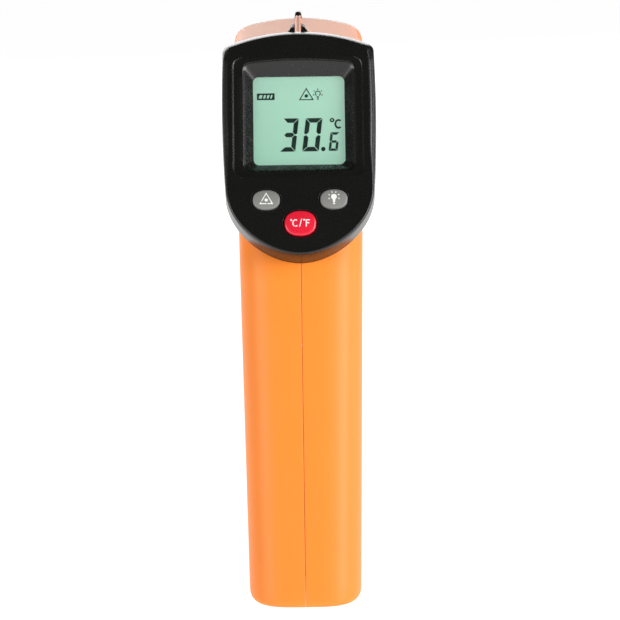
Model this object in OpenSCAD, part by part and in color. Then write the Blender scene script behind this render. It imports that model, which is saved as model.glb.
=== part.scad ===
// Pistol-shaped infrared thermometer, in millimetres.
// X runs across, +Y points out of the nose, +Z is up, and the origin is the middle of the flat base.

/* [Handle] */
// Depth of the handle at its base, front to back
handle_depth = 36; // [34:0.5:38]
// Half width of the handle at its base
handle_half_width = 15.6; // [15.2:0.1:16]
// Squareness of the handle's section
handle_power = 3.5; // [3:0.1:4]
// How far the rear line leans forward for each millimetre of height
rear_slope = 0.208; // [0.19:0.002:0.22]
// How far the front line leans forward for each millimetre of height
front_slope = 0.165; // [0.15:0.002:0.18]
// Wall of the housing
wall = 2; // [1.8:0.1:2.2]

/* [Barrel] */
// Half width of the barrel
barrel_half_width = 18.6; // [18.2:0.1:19]
// Distance of the barrel's front end from the middle of the base
barrel_front = 66; // [65:0.5:67]
// Height of the barrel's top at its front end
barrel_top = 153.9; // [153:0.1:155]
// Height of the barrel's underside at its front end
barrel_bottom = 111; // [110:0.5:112]
// Radius of the barrel's upper corners
barrel_top_r = 5; // [4:0.5:6]
// Radius of the barrel's lower corners
barrel_bottom_r = 9; // [8:0.5:10]

/* [Display bezel] */
// Lean of the display face from upright
face_tilt = 24; // [23:0.5:25]
// Thickness of the bezel
bezel_depth = 8.5; // [8:0.5:9]
// Side of the square that shows of the display
screen_side = 25.4; // [24:0.2:26]
// Depth of the display below the bezel's face
screen_depth = 3.7; // [3.4:0.1:4]

/* [Nose] */
// Length of the nose
nose_length = 17; // [16:0.5:18]
// Radius of the lens cone at the mouth
cone_mouth_r = 10.5; // [10:0.25:11]
// Radius of the lens cone at its bottom
cone_bottom_r = 6; // [5.5:0.25:6.2]
// Radius of the laser's hole
laser_hole_r = 2.2; // [2:0.1:2.4]

/* [Trigger] */
// Width of the trigger
trigger_width = 12; // [11:0.5:12.5]
// Radius of the trigger's pivot pins
trigger_pin_r = 2; // [1.8:0.1:2.2]

/* [Battery bay] */
// Half width of the battery door
door_half_width = 11.2; // [11:0.1:11.4]
// Height of the top of the battery door, along the handle
door_top = 68.4; // [67:0.2:70]
// Radius of a round cell
cell_r = 5.25; // [5:0.05:5.25]
// Length of a round cell with its nub
cell_length = 44.5; // [44:0.1:44.6]

/* [Fits] */
// Gap round parts that move in an opening
moving_gap = 0.3; // [0.25:0.05:0.4]
// Radial gap of a pin in its bore
pin_gap = 0.05; // [0.03:0.01:0.08]

/* [Hidden] */

$fn = 48;
sheet = 0.05;        // thickness of the thin slices that a hull joins
far = 200;           // longer than the object, for half spaces
slack = 0.5;         // how far a cutter runs past the surface it cuts

orange = "#f89238";
black = "#1d1d1b";

// Handle
handle_lean = atan((rear_slope + front_slope) / 2);
handle_neck = 91.5;
handle_top = 112;
handle_top_rear = 10.6;
handle_widening = 0.0174;
base_round = 2.2;

// Display face: its centre, and the outline of the bezel about that centre
face_y = 10;
face_z = 133.1;
outline_top = 25.8;
outline_top_r = 54;
outline_corner_r = 3;
outline_corner_up = 18.3;
outline_half_width = 21.6;
outline_widest = 4;
outline_bulge = 720;
chin_start = -21.4;
chin_length = 18.1;
chin_power = 1.9;
barrel_step = 1.8;
bezel_wall = 2.2;
lip_depth = 2.5;

// Display stack, as depths below the bezel's face
window_thick = 1;
gasket_thick = 0.4;
glass_thick = 2;
backlight_thick = 2.4;
board_depth = 10.3;
board_thick = 1.6;
board_inset = 4.4;
board_chin_cut = 2.4;
window_side = 30;
frame_side = 33;

// Buttons: place on the face, half sizes, and travel
grey_button_x = 9.3;
grey_button_up = -23.5;
grey_button_size = [3.75, 2.75];
red_button_up = -30.2;
red_button_size = [4.35, 3.5];
button_proud = 1.2;
button_flange = 1;
flange_depth = 2.5;
switch_side = 6;
switch_tall = 3.1;
switch_plunger_tall = 0.9;
switch_plunger_r = 1.6;

// Barrel stations
barrel_rise = 0.0921;

// Lens and laser axes
lens_z = 136;
laser_z = 119.5;
cone_depth = 16;
tube_r = 8;
tube_back = 46;
tube_front = 66.4;
lens_y = 62;
lens_r = 6;

// Trigger: pivot, arm and switch
pivot_y = 41;
pivot_z = 113;
arm_top = pivot_z + 2.2;
arm_end = 27.2;
spring_y = 34.5;
spring_top = arm_top + 6;
plunger_y = 28.4;
seat_z = spring_top + 1.2;

// Battery door and bay
door_pivot_y = 12.6;
door_pivot_z = 6.8;
door_round_r = 6.3;
door_pin_r = 1.1;
bay_bottom = 13.2;
bay_wall = 1.2;
cell_x = 5.6;
cell_y = 8.5;
plate_thick = 0.4;
contact_spring = 3.3;
bay_top = bay_bottom + 2 * plate_thick + contact_spring + cell_length;

// Housing screws, as [y, z, reach of the boss from the seam]
screw_places = [[2, 8, 14.4], [13, 82, 15.8], [36, 145.1, 15.6], [54, 117, 15.5]];
screw_head_x = 9;

// ---------- outlines ----------

function signed_power(v, p) = sign(v) * pow(abs(v), p);

// Superellipse with half sizes a and b
function rounded_outline(a, b, power, count) = [
    for (i = [0 : count - 1])
        let (t = 360 * (i + 0.5) / count)
        [a * signed_power(cos(t), 2 / power), b * signed_power(sin(t), 2 / power)]
];

function bezel_side(up, inset) =
    outline_half_width - pow(up - outline_widest, 2) / outline_bulge - inset;

// Right half of the bezel's outline from the top to the chin, moved in by inset
function bezel_half(inset) =
    let (
        r_top = outline_top_r - inset,
        r_corner = max(outline_corner_r - inset, 0.4),
        x_corner = bezel_side(outline_corner_up, inset) - r_corner,
        centre = outline_top - outline_top_r,
        lean = asin(x_corner / (r_top - r_corner)),
        up_corner = centre + (r_top - r_corner) * cos(lean),
        chin = chin_length - inset
    )
    concat(
        [for (i = [0 : 5]) let (a = lean * (i + 0.4) / 6) [r_top * sin(a), centre + r_top * cos(a)]],
        [for (i = [0 : 5]) let (a = lean + (90 - lean) * i / 5)
            [x_corner + r_corner * sin(a), up_corner + r_corner * cos(a)]],
        [for (i = [1 : 5]) let (up = up_corner + (chin_start - up_corner) * i / 6)
            [bezel_side(up, inset), up]],
        [for (i = [0 : 12])
            let (a = 90 * i / 12.5, up = chin_start - chin * pow(sin(a), 2 / chin_power))
            [bezel_side(up, inset) * pow(cos(a), 2 / chin_power), up]]
    );

function bezel_outline(inset) = both_halves(bezel_half(inset));

// Right half of the barrel's section, of half width a and half height b, moved in by inset
function section_half(a, b, inset) =
    let (
        corner_x = a - barrel_top_r,
        lean = asin(corner_x / (outline_top_r - barrel_top_r)),
        centre = b - outline_top_r,
        corner_z = centre + (outline_top_r - barrel_top_r) * cos(lean)
    )
    concat(
        [for (i = [0 : 5]) let (t = lean * (i + 0.4) / 6)
            [(outline_top_r - inset) * sin(t), centre + (outline_top_r - inset) * cos(t)]],
        [for (i = [0 : 5]) let (t = lean + (90 - lean) * i / 5)
            [corner_x + (barrel_top_r - inset) * sin(t), corner_z + (barrel_top_r - inset) * cos(t)]],
        [for (i = [0 : 7]) let (t = 90 + 90 * i / 7)
            [a - barrel_bottom_r + (barrel_bottom_r - inset) * sin(t),
                barrel_bottom_r - b + (barrel_bottom_r - inset) * cos(t)]]
    );

function both_halves(half) =
    concat(half, [for (i = [len(half) - 1 : -1 : 0]) [-half[i][0], half[i][1]]]);

// Points of a smooth curve through a list of places
function curve_between(a, b, c, d, t) =
    0.5 * (2 * b + (c - a) * t + (2 * a - 5 * b + 4 * c - d) * t * t
        + (3 * b - a - 3 * c + d) * t * t * t);

function smooth_path(p, steps) =
    let (last = len(p) - 1)
    concat(
        [for (i = [0 : last - 1], s = [0 : steps - 1])
            curve_between(p[max(i - 1, 0)], p[i], p[i + 1], p[min(i + 2, last)], s / steps)],
        [p[last]]
    );

function unit(v) = v / norm(v);

// ---------- placing ----------

// Children stand in the plane of the display face: X across, Y up the face, Z out of it
module on_face() {
    translate([0, face_y, face_z])
        rotate([90 - face_tilt, 0, 0])
            children();
}

// Children stand along the leaning axis of the handle
module in_handle() {
    rotate([-handle_lean, 0, 0])
        children();
}

// Children drawn along +Z are laid along +Y from a point
module along_y(y, z) {
    translate([0, y, z])
        rotate([-90, 0, 0])
            children();
}

// A round bar along X
module bar_x(x_from, x_to, y, z, r) {
    translate([x_from, y, z])
        rotate([0, 90, 0])
            cylinder(h = x_to - x_from, r = r);
}

// A box between two corners
module box(low, high) {
    translate(low)
        cube(high - low);
}

// Round wire swept along a path
module wire(path, r, sides = 8) {
    last = len(path) - 1;
    rings = [
        for (i = [0 : last])
            let (
                along = unit(path[min(i + 1, last)] - path[max(i - 1, 0)]),
                across = unit(cross(along, abs(along[0]) < 0.8 ? [1, 0, 0] : [0, 0, 1])),
                third = cross(along, across)
            )
            for (k = [0 : sides - 1])
                let (a = 360 * k / sides)
                path[i] + r * (cos(a) * across + sin(a) * third)
    ];
    walls = [
        for (i = [0 : last - 1], k = [0 : sides - 1])
            let (n = (k + 1) % sides)
            [i * sides + k, i * sides + n, (i + 1) * sides + n, (i + 1) * sides + k]
    ];
    first_cap = [[for (k = [sides - 1 : -1 : 0]) k]];
    last_cap = [[for (k = [0 : sides - 1]) last * sides + k]];
    polyhedron(rings, concat(walls, first_cap, last_cap));
}

// Coil spring standing on the plane z = 0, with its end turns closed
module coil(r_bottom, r_top, height, turns, wire_r) {
    steps = turns * 14;
    wire([
        for (i = [0 : steps])
            let (t = i / steps, a = 360 * turns * t, r = r_bottom + (r_top - r_bottom) * t)
            [r * cos(a), r * sin(a), wire_r + (height - 2 * wire_r) * t]
    ], wire_r, 6);
}

// Pan head screw along -Z, with a cross slot, its head's seat at z = 0
module screw(head_r, head_tall, shank_r, shank_long) {
    difference() {
        cylinder(h = head_tall, r = head_r);
        for (turn = [0, 90])
            rotate([0, 0, turn])
                box([-head_r * 0.65, -0.25, head_tall * 0.45], [head_r * 0.65, 0.25, head_tall + slack]);
    }
    translate([0, 0, -shank_long])
        cylinder(h = shank_long, r = shank_r);
}

// ---------- housing ----------

function handle_rear(z) = -handle_depth / 2 + rear_slope * z;

module handle_slice(z, rear, inset) {
    front = handle_depth / 2 + front_slope * z;
    translate([0, (rear + front) / 2, z])
        linear_extrude(sheet)
            polygon(rounded_outline(
                handle_half_width + handle_widening * z - inset,
                (front - rear) / 2 - inset,
                handle_power, 64));
}

// Solid handle, moved in by inset, standing on its floor
module handle_solid(inset) {
    hull() {
        for (step = [[0, base_round], [base_round * 0.3, base_round * 0.3], [base_round, 0]])
            handle_slice(inset + step[0], handle_rear(inset + step[0]), inset + step[1]);
        handle_slice(handle_neck, handle_rear(handle_neck), inset);
        handle_slice(handle_top, handle_top_rear, inset);
    }
}

module barrel_slice(y, bottom, top, inset) {
    translate([0, y, (bottom + top) / 2])
        rotate([90, 0, 0])
            linear_extrude(sheet)
                polygon(both_halves(section_half(barrel_half_width, (top - bottom) / 2, inset)));
}

function barrel_top_at(y) = barrel_top - (barrel_front - y) * barrel_rise;

// Solid barrel from the bezel to the nose, moved in by inset; past runs the ends on
module barrel_solid(inset, past) {
    hull() {
        on_face()
            translate([0, 0, -bezel_depth + past - 2 * sheet])
                linear_extrude(sheet)
                    polygon(bezel_outline(barrel_step + inset));
        barrel_slice(barrel_front + past, barrel_bottom, barrel_top, inset);
    }
}

// Ring with the barrel's section, from one distance to another
module barrel_ring(from, to, outer_inset, inner_inset) {
    half_tall = (barrel_top - barrel_bottom) / 2;
    translate([0, to, (barrel_top + barrel_bottom) / 2])
        rotate([90, 0, 0])
            linear_extrude(to - from)
                difference() {
                    polygon(both_halves(section_half(barrel_half_width, half_tall, outer_inset)));
                    polygon(both_halves(section_half(barrel_half_width, half_tall, inner_inset)));
                }
}

// Lips that reach into the bezel and into the nose
module housing_lips() {
    on_face()
        translate([0, 0, -bezel_depth - 1])
            linear_extrude(lip_depth + 1)
                difference() {
                    polygon(bezel_outline(bezel_wall + 0.1));
                    polygon(bezel_outline(barrel_step + wall - 0.35));
                }
    barrel_ring(barrel_front - 3.5, barrel_front - 0.5, 1.2, 3.5);
    barrel_ring(barrel_front - 1, barrel_front + lip_depth, 2.7, 3.6);
}

// Ridge along the top seam
module top_ridge() {
    rise = atan(barrel_rise);
    start = 28.5;
    translate([-0.8, start, barrel_top_at(start) - 1])
        rotate([rise, 0, 0])
            cube([1.6, (barrel_front - start) / cos(rise), 1.8]);
}

// Saddles that hold the lens tube, and the plate above the trigger's arm
module housing_ribs() {
    for (y = [50, 59])
        difference() {
            box([-17.4, y, lens_z - 9.5], [17.4, y + 1.5, lens_z + 9.5]);
            along_y(y - slack, lens_z)
                cylinder(h = 3, r = tube_r + 0.02);
        }
    box([-17.4, 24, seat_z], [17.4, 38, seat_z + 1.5]);
    translate([0, spring_y, spring_top])
        cylinder(h = 1.5, r = 2.8);
    for (side = [-1, 1])
        bar_x(side > 0 ? 6.6 : -11, side > 0 ? 11 : -6.6, pivot_y, pivot_z, 4);
    for (side = [-1, 1])
        box([side > 0 ? 8 : -17.4, pivot_y - 2, pivot_z - 1], [side > 0 ? 17.4 : -8, pivot_y + 2, pivot_z + 1]);
}

// Openings for the trigger, the battery door and their pins
module housing_cuts() {
    gap_half = trigger_width / 2 + moving_gap;
    box([-gap_half, 24, 78], [gap_half, 46.6, pivot_z - 0.4]);
    bar_x(-9, 9, pivot_y, pivot_z, trigger_pin_r + pin_gap);
    bar_x(-gap_half, gap_half, pivot_y, pivot_z, 4.3);
    door_half = door_half_width + moving_gap;
    in_handle()
        box([-door_half, 9.5, 7], [door_half, far, door_top + moving_gap]);
    bar_x(-door_half, door_half, door_pivot_y, door_pivot_z, door_round_r + moving_gap);
    box([-door_half, door_pivot_y - 3.1, -slack], [door_half, far, door_pivot_z]);
    bar_x(-12.8, 12.8, door_pivot_y, door_pivot_z, door_pin_r + pin_gap);
}

module housing_bosses() {
    for (p = screw_places)
        bar_x(-p[2], p[2], p[0], p[1], 3.6);
}

module housing_half(side) {
    low_x = side > 0 ? 0 : -far;
    intersection() {
        translate([low_x, -far / 2, -slack])
            cube([far, far, far]);
        difference() {
            union() {
                difference() {
                    union() {
                        handle_solid(0);
                        barrel_solid(0, 0);
                    }
                    handle_solid(wall);
                    barrel_solid(wall, 1);
                }
                housing_lips();
                top_ridge();
                housing_ribs();
                housing_bosses();
            }
            housing_cuts();
            for (p = screw_places) {
                bar_x(-30, -screw_head_x, p[0], p[1], 2.7);
                bar_x(-12, 0, p[0], p[1], 1.25);
                bar_x(0, 9.5, p[0], p[1], 0.95);
            }
        }
    }
}

module housing_left() {
    color(orange)
        housing_half(-1);
}

module housing_right() {
    color(orange)
        housing_half(1);
}

module housing_screws() {
    color("silver")
        for (p = screw_places)
            translate([-screw_head_x, p[0], p[1]])
                rotate([0, -90, 0])
                    screw(2.3, 1.7, 1, 17.5);
}

// ---------- display ----------

// Button outline, grown by a margin
module button_outline(size, grow) {
    polygon(rounded_outline(size[0] + grow, size[1] + grow, 2.3, 40));
}

// Children at each button's place on the face
module at_buttons(places) {
    for (p = places)
        translate([p[0], p[1], 0])
            children();
}

grey_places = [[-grey_button_x, grey_button_up], [grey_button_x, grey_button_up]];
post_places = [[-13.9, -18.9], [13.9, -18.9], [0, -21.5]];

// Square outline with rounded corners and a slightly arched top
module screen_outline(half, corner, arch) {
    count = 6;
    polygon(concat(
        [for (i = [0 : count]) let (x = half - corner, t = i / count)
            [x - 2 * x * t, half + arch * (1 - pow(2 * t - 1, 2))]],
        [for (i = [0 : count]) let (a = 90 + 90 * i / count)
            [-half + corner + corner * cos(a), half - corner + corner * sin(a)]],
        [for (i = [0 : count]) let (a = 180 + 90 * i / count)
            [-half + corner + corner * cos(a), -half + corner + corner * sin(a)]],
        [for (i = [0 : count]) let (a = 270 + 90 * i / count)
            [half - corner + corner * cos(a), -half + corner + corner * sin(a)]],
        [for (i = [0 : count - 1]) let (a = 90 * i / count)
            [half - corner + corner * cos(a), half - corner + corner * sin(a)]]
    ));
}

module display_bezel() {
    edge = 2.4;
    mouth_half = screen_side / 2 + 2.6;
    color(black)
        on_face()
            difference() {
                union() {
                    difference() {
                        hull() {
                            for (step = [[0, edge], [-edge * 0.3, edge * 0.42], [-edge, 0.25],
                                    [sheet - bezel_depth, 0]])
                                translate([0, 0, step[0] - sheet])
                                    linear_extrude(sheet)
                                        polygon(bezel_outline(step[1]));
                        }
                        translate([0, 0, -bezel_depth - slack])
                            linear_extrude(bezel_depth + slack - bezel_wall)
                                polygon(bezel_outline(bezel_wall));
                    }
                    translate([-17.2, -17.2, -screen_depth])
                        cube([34.4, 34.4, screen_depth - bezel_wall + 0.1]);
                    at_buttons(post_places)
                        translate([0, 0, -board_depth])
                            cylinder(h = board_depth - bezel_wall + 0.1, r = 1.8);
                    sight_teeth();
                }
                hull() {
                    translate([0, 0.25, 0])
                        linear_extrude(sheet)
                            screen_outline(mouth_half, 2, 0.9);
                    translate([0, 0, -screen_depth - sheet])
                        linear_extrude(sheet)
                            screen_outline(screen_side / 2, 1.6, 0);
                }
                translate([0, 0, -bezel_wall - slack]) {
                    linear_extrude(far) {
                        at_buttons(grey_places)
                            button_outline(grey_button_size, 0.25);
                        translate([0, red_button_up])
                            button_outline(red_button_size, 0.25);
                    }
                }
                at_buttons(post_places)
                    translate([0, 0, -board_depth - slack])
                        cylinder(h = 6, r = 0.8);
            }
}

// Two wedges on the top rim: the rear sight
module sight_teeth() {
    inner = 0.85;
    for (side = [-1, 1])
        translate([0, 0, -7])
            linear_extrude(3)
                polygon([
                    [side * inner, outline_top - 1.2],
                    [side * (inner + 2.3), outline_top - 1.2],
                    [side * (inner + 2.1), outline_top],
                    [side * (inner + 0.8), outline_top + 2.9],
                    [side * inner, outline_top + 3.1]
                ]);
}

module display_window() {
    color("#dfe8e4", 0.4)
        on_face()
            translate([-window_side / 2, -window_side / 2, -screen_depth - window_thick])
                cube([window_side, window_side, window_thick]);
}

module window_gasket() {
    back = -screen_depth - window_thick - gasket_thick;
    inner = screen_side / 2 + 0.4;
    color("#333333")
        on_face()
            difference() {
                box([-14.4, -15.2, back], [14.4, 15, back + gasket_thick]);
                box([-inner, -inner, back - slack], [inner, inner, back + gasket_thick + slack]);
            }
}

glass_back = -screen_depth - window_thick - gasket_thick - glass_thick;

module lcd_panel() {
    color("#a9cbb9")
        on_face()
            box([-14.4, -15.2, glass_back], [14.4, 15, glass_back + glass_thick]);
}

module lcd_backlight() {
    color("#dcefd8")
        on_face()
            box([-13.8, -12.6, glass_back - backlight_thick], [13.8, 14.8, glass_back]);
}

module backlight_leds() {
    color("#f2efc0")
        on_face()
            for (side = [-1, 1])
                box([side * 7 - 1.5, -13.4, glass_back - 2], [side * 7 + 1.5, -12.6, glass_back - 0.6]);
}

module lcd_frame() {
    half = frame_side / 2;
    color("#ece9e2")
        on_face()
            difference() {
                box([-half, -17, -board_depth], [half, 16.8, glass_back + glass_thick]);
                box([-14.6, -15.4, -board_depth - slack], [14.6, 15.2, 0]);
            }
}

module zebra_connector() {
    color("#c96b7e")
        on_face()
            box([-12.5, -15.2, -board_depth], [12.5, -13.8, glass_back]);
}

module main_board() {
    color("#1c6b3c")
        on_face()
            translate([0, 0, -board_depth - board_thick])
                linear_extrude(board_thick)
                    difference() {
                        intersection() {
                            polygon(bezel_outline(board_inset));
                            translate([0, board_chin_cut])
                                polygon(bezel_outline(board_inset));
                        }
                        at_buttons(post_places)
                            circle(r = 0.9);
                    }
}

// Controller, amplifier, memory, crystal and two capacitors on the board's back
module board_chips() {
    back = -board_depth - board_thick;
    color("#26262a")
        on_face() {
            box([-5, 5, back - 1.4], [5, 15, back]);
            box([-13, -4, back - 1.3], [-8, 2, back]);
            box([-13, -14, back - 1.3], [-9, -9, back]);
            box([10, 4, back - 2.4], [12.4, 11, back]);
            for (up = [-16, -20])
                translate([8, up, back - 1.8])
                    cylinder(h = 1.8, r = 1.5);
        }
}

module board_screws() {
    color("silver")
        on_face()
            at_buttons(post_places)
                translate([0, 0, -board_depth - board_thick])
                    mirror([0, 0, 1])
                        screw(1.6, 1.1, 0.8, 6);
}

// Button with a rounded top edge, a flange that holds it in and a stem to its switch
module button(size) {
    stem_end = -board_depth + switch_tall + switch_plunger_tall;
    hull() {
        translate([0, 0, -flange_depth])
            linear_extrude(flange_depth + button_proud * 0.6)
                button_outline(size, 0);
        translate([0, 0, button_proud - sheet])
            linear_extrude(sheet)
                button_outline(size, -0.6);
    }
    translate([0, 0, -flange_depth - 0.8])
        linear_extrude(0.8)
            button_outline(size, button_flange);
    translate([0, 0, stem_end])
        cylinder(h = -flange_depth - 0.8 - stem_end, r = 1.4);
}

module laser_button() {
    color("#80807e")
        on_face()
            translate([-grey_button_x, grey_button_up, 0])
                button(grey_button_size);
}

module backlight_button() {
    color("#80807e")
        on_face()
            translate([grey_button_x, grey_button_up, 0])
                button(grey_button_size);
}

module unit_button() {
    color("#e42c3e")
        on_face()
            translate([0, red_button_up, 0])
                button(red_button_size);
}

// Switch body with the guide hole of its plunger
module board_switch() {
    translate([0, 0, -board_depth])
        difference() {
            translate([-switch_side / 2, -switch_side / 2, 0])
                cube([switch_side, switch_side, switch_tall]);
            translate([0, 0, 0.8])
                cylinder(h = switch_tall, r = switch_plunger_r + pin_gap);
        }
}

module board_plunger() {
    translate([0, 0, -board_depth + 1.6])
        cylinder(h = switch_tall + switch_plunger_tall - 1.6, r = switch_plunger_r);
}

module laser_switch() {
    color("#3a3a3c")
        on_face()
            translate([-grey_button_x, grey_button_up, 0])
                board_switch();
}

module backlight_switch() {
    color("#3a3a3c")
        on_face()
            translate([grey_button_x, grey_button_up, 0])
                board_switch();
}

module unit_switch() {
    color("#3a3a3c")
        on_face()
            translate([0, red_button_up, 0])
                board_switch();
}

module laser_plunger() {
    color("#b03030")
        on_face()
            translate([-grey_button_x, grey_button_up, 0])
                board_plunger();
}

module backlight_plunger() {
    color("#b03030")
        on_face()
            translate([grey_button_x, grey_button_up, 0])
                board_plunger();
}

module unit_plunger() {
    color("#b03030")
        on_face()
            translate([0, red_button_up, 0])
                board_plunger();
}

// ---------- nose, lens and laser ----------

// Slice of the nose: distance in front of the barrel, half width, underside and top
module nose_slice(ahead, half_width, bottom, top, inset) {
    translate([0, barrel_front + ahead, (bottom + top) / 2])
        rotate([90, 0, 0])
            linear_extrude(sheet)
                polygon(both_halves(section_half(half_width, (top - bottom) / 2, inset)));
}

module nose_solid(inset, front) {
    hull() {
        nose_slice(2 * sheet, barrel_half_width, barrel_bottom, barrel_top, inset);
        nose_slice(front * 0.72, 17.3, 112.6, 152.6, inset);
        nose_slice(front * 0.93, 16.5, 113.4, 151.8, inset);
        nose_slice(front, 15, 115, 150.2, inset);
    }
}

module nose() {
    laser_tube_r = 4.8;
    cone_start = barrel_front + nose_length - cone_depth;
    color(black)
        difference() {
            union() {
                difference() {
                    nose_solid(0, nose_length);
                    translate([0, -sheet * 2, 0])
                        nose_solid(wall, nose_length - wall);
                }
                along_y(cone_start + 0.4, lens_z)
                    cylinder(h = cone_depth - 0.8, r1 = cone_bottom_r + 2, r2 = cone_mouth_r + 1.2);
                along_y(barrel_front + 4, laser_z)
                    cylinder(h = nose_length - 4.5, r = laser_tube_r);
                front_sight();
            }
            along_y(cone_start, lens_z)
                cylinder(h = cone_depth + sheet, r1 = cone_bottom_r, r2 = cone_mouth_r);
            along_y(barrel_front, laser_z)
                cylinder(h = nose_length - 2, r = 3.3);
            along_y(barrel_front, laser_z)
                cylinder(h = nose_length + 1, r = laser_hole_r);
        }
}

// Front sight: a peaked post on top of the nose
module front_sight() {
    back = 73;
    translate([0, back + 4, 0])
        rotate([90, 0, 0])
            linear_extrude(4)
                polygon([[-1.3, 151.5], [1.3, 151.5], [0.95, 154], [0.4, 155], [-0.4, 155], [-0.95, 154]]);
}

module lens_tube() {
    color("#35353a")
        along_y(tube_back, lens_z)
            rotate_extrude($fn = 72)
                polygon([
                    [5, 0], [tube_r, 0], [tube_r, tube_front - tube_back],
                    [lens_r + 0.2, tube_front - tube_back], [lens_r + 0.2, lens_y - tube_back],
                    [4.7, lens_y - tube_back], [4.7, 6], [5, 6]
                ]);
}

module infrared_lens() {
    bulge = 1.1;
    rim = 1.4;
    r = (lens_r * lens_r + bulge * bulge) / (2 * bulge);
    color("#8d8f96")
        along_y(lens_y, lens_z)
            rotate_extrude($fn = 72)
                polygon(concat(
                    [[0, 0], [lens_r, 0]],
                    [for (i = [0 : 8]) let (x = lens_r * (1 - i / 8))
                        [x, rim + sqrt(r * r - x * x) - (r - bulge)]]
                ));
}

module lens_retainer() {
    color("#2a2a2d")
        along_y(lens_y + 2.6, lens_z)
            rotate_extrude($fn = 72)
                polygon([[4.9, 0], [6.15, 0], [6.15, 1.6], [5.5, 1.6]]);
}

module lens_seal() {
    color("#222222")
        along_y(tube_front + 0.5, lens_z)
            rotate_extrude($fn = 72)
                translate([7.1, 0])
                    circle(r = 0.5, $fn = 24);
}

module thermopile_sensor() {
    leads = 4;
    color("silver")
        along_y(tube_back, lens_z) {
            rotate_extrude($fn = 64)
                polygon([[0, 1.2], [4.6, 1.2], [4.6, 1.8], [4.1, 1.8], [4.1, 5.2], [3.8, 5.5], [1.6, 5.5], [1.6, 5.3], [0, 5.3]]);
            for (i = [0 : leads - 1])
                rotate([0, 0, 45 + 360 * i / leads])
                    translate([2.6, 0, 0])
                        cylinder(h = 1.3, r = 0.25);
        }
}

module sensor_board() {
    color("#1c6b3c")
        along_y(tube_back - board_thick, lens_z)
            cylinder(h = board_thick, r = 8.6, $fn = 64);
}

module laser_module() {
    color("#c9a24a")
        along_y(barrel_front - 0.5, laser_z)
            rotate_extrude($fn = 64)
                polygon([[0, 0], [3.25, 0], [3.25, 9.5], [2.6, 9.5], [2.6, 12.5], [1.1, 12.5], [1.1, 11], [0, 11]]);
}

module laser_board() {
    color("#1c6b3c")
        box([-2.2, barrel_front - 1.7, laser_z - 2.6], [2.2, barrel_front - 0.5, laser_z + 2.6]);
}

module laser_window() {
    color("#7a2020", 0.5)
        along_y(barrel_front + nose_length - 3, laser_z)
            cylinder(h = 1, r = 3.25);
}

// ---------- trigger ----------

// Side outline of the trigger below its pivot, with a finger dish in front
module trigger_outline(inset) {
    top = pivot_z - 1;
    tip = 80;
    count = 16;
    polygon(concat(
        [for (i = [0 : count])
            let (t = i / count, z = top + (tip - top) * t)
            [46 - 7.6 * t - 2.6 * sin(180 * pow(t, 0.8)) - inset, z]],
        [for (i = [1 : 5])
            let (a = -90 * i / 5)
            [36.9 + 1.5 * cos(a) - inset * 0.5, tip + 1.5 * sin(a) + inset]],
        [[31.6 + inset, tip - 1.5 + inset], [30.2 + inset, tip + 0.5 + inset],
            [34.4 + inset, 106], [37.6, pivot_z - 1]]
    ));
}

module trigger() {
    half = trigger_width / 2;
    color(black) {
        difference() {
            union() {
                translate([half, 0, 0])
                    rotate([90, 0, -90])
                        mirror([1, 0, 0])
                            linear_extrude(trigger_width)
                                trigger_outline(0);
                bar_x(-half, half, pivot_y, pivot_z, 3.8);
                box([-2.6, arm_end, arm_top - 3.2], [2.6, pivot_y, arm_top]);
            }
            translate([half - 1.5, 0, 0])
                rotate([90, 0, -90])
                    mirror([1, 0, 0])
                        linear_extrude(trigger_width - 3)
                            polygon([[29, 84], [33.6, 83], [36.2, 88], [38.4, 98], [40.6, 106], [33, 106]]);
        }
        bar_x(-half - 2.6, half + 2.6, pivot_y, pivot_z, trigger_pin_r);
    }
}

module trigger_spring() {
    color("silver")
        translate([0, spring_y, arm_top])
            coil(1.9, 1.9, spring_top - arm_top, 5, 0.25);
}

switch_body_bottom = arm_top + 2;

module trigger_switch() {
    color("#3a3a3c")
        difference() {
            box([-3, plunger_y - 3, switch_body_bottom], [3, plunger_y + 3, spring_top]);
            translate([0, plunger_y, switch_body_bottom - slack])
                cylinder(h = spring_top - switch_body_bottom, r = 1.2 + pin_gap);
        }
}

module trigger_plunger() {
    color("#e8e4da")
        translate([0, plunger_y, arm_top + 0.03]) {
            cylinder(h = 3.6, r = 0.5);
            translate([0, 0, 0.7])
                cylinder(h = 2.9, r = 1.2);
        }
}

module trigger_board() {
    color("#1c6b3c")
        box([-6, 24.2, spring_top], [6, 31.6, seat_z]);
}

// ---------- battery bay ----------

module battery_door() {
    color(black) {
        intersection() {
            difference() {
                intersection() {
                    handle_solid(0);
                    in_handle()
                        box([-door_half_width, 9.8, -3], [door_half_width, far, door_top]);
                }
                handle_solid(wall);
            }
            union() {
                bar_x(-far, far, door_pivot_y, door_pivot_z, door_round_r);
                box([-far, 0, door_pivot_z], [far, far, far]);
            }
        }
        for (side = [-1, 1]) {
            inner = side > 0 ? door_half_width - 1.5 : -door_half_width;
            bar_x(inner, inner + 1.5, door_pivot_y, door_pivot_z, 2.4);
            box([inner, door_pivot_y, door_pivot_z - 2], [inner + 1.5, 15.6, door_pivot_z + 2]);
        }
        bar_x(-door_half_width - 1.4, door_half_width + 1.4, door_pivot_y, door_pivot_z, door_pin_r);
    }
}

module battery_tray() {
    low = bay_bottom - bay_wall;
    color("#2b2b2d")
        in_handle()
            difference() {
                box([-12.05, 1.6, low], [12.05, 10.5, bay_top + bay_wall]);
                box([-11.2, 3, bay_bottom], [11.2, far, bay_top]);
                box([-13, 9.5, bay_bottom + 6], [13, far, bay_top - 6]);
            }
}

module battery_cell() {
    nub = 0.9;
    cylinder(h = cell_length - nub, r = cell_r, $fn = 64);
    cylinder(h = cell_length, r = 1.9, $fn = 48);
}

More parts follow.
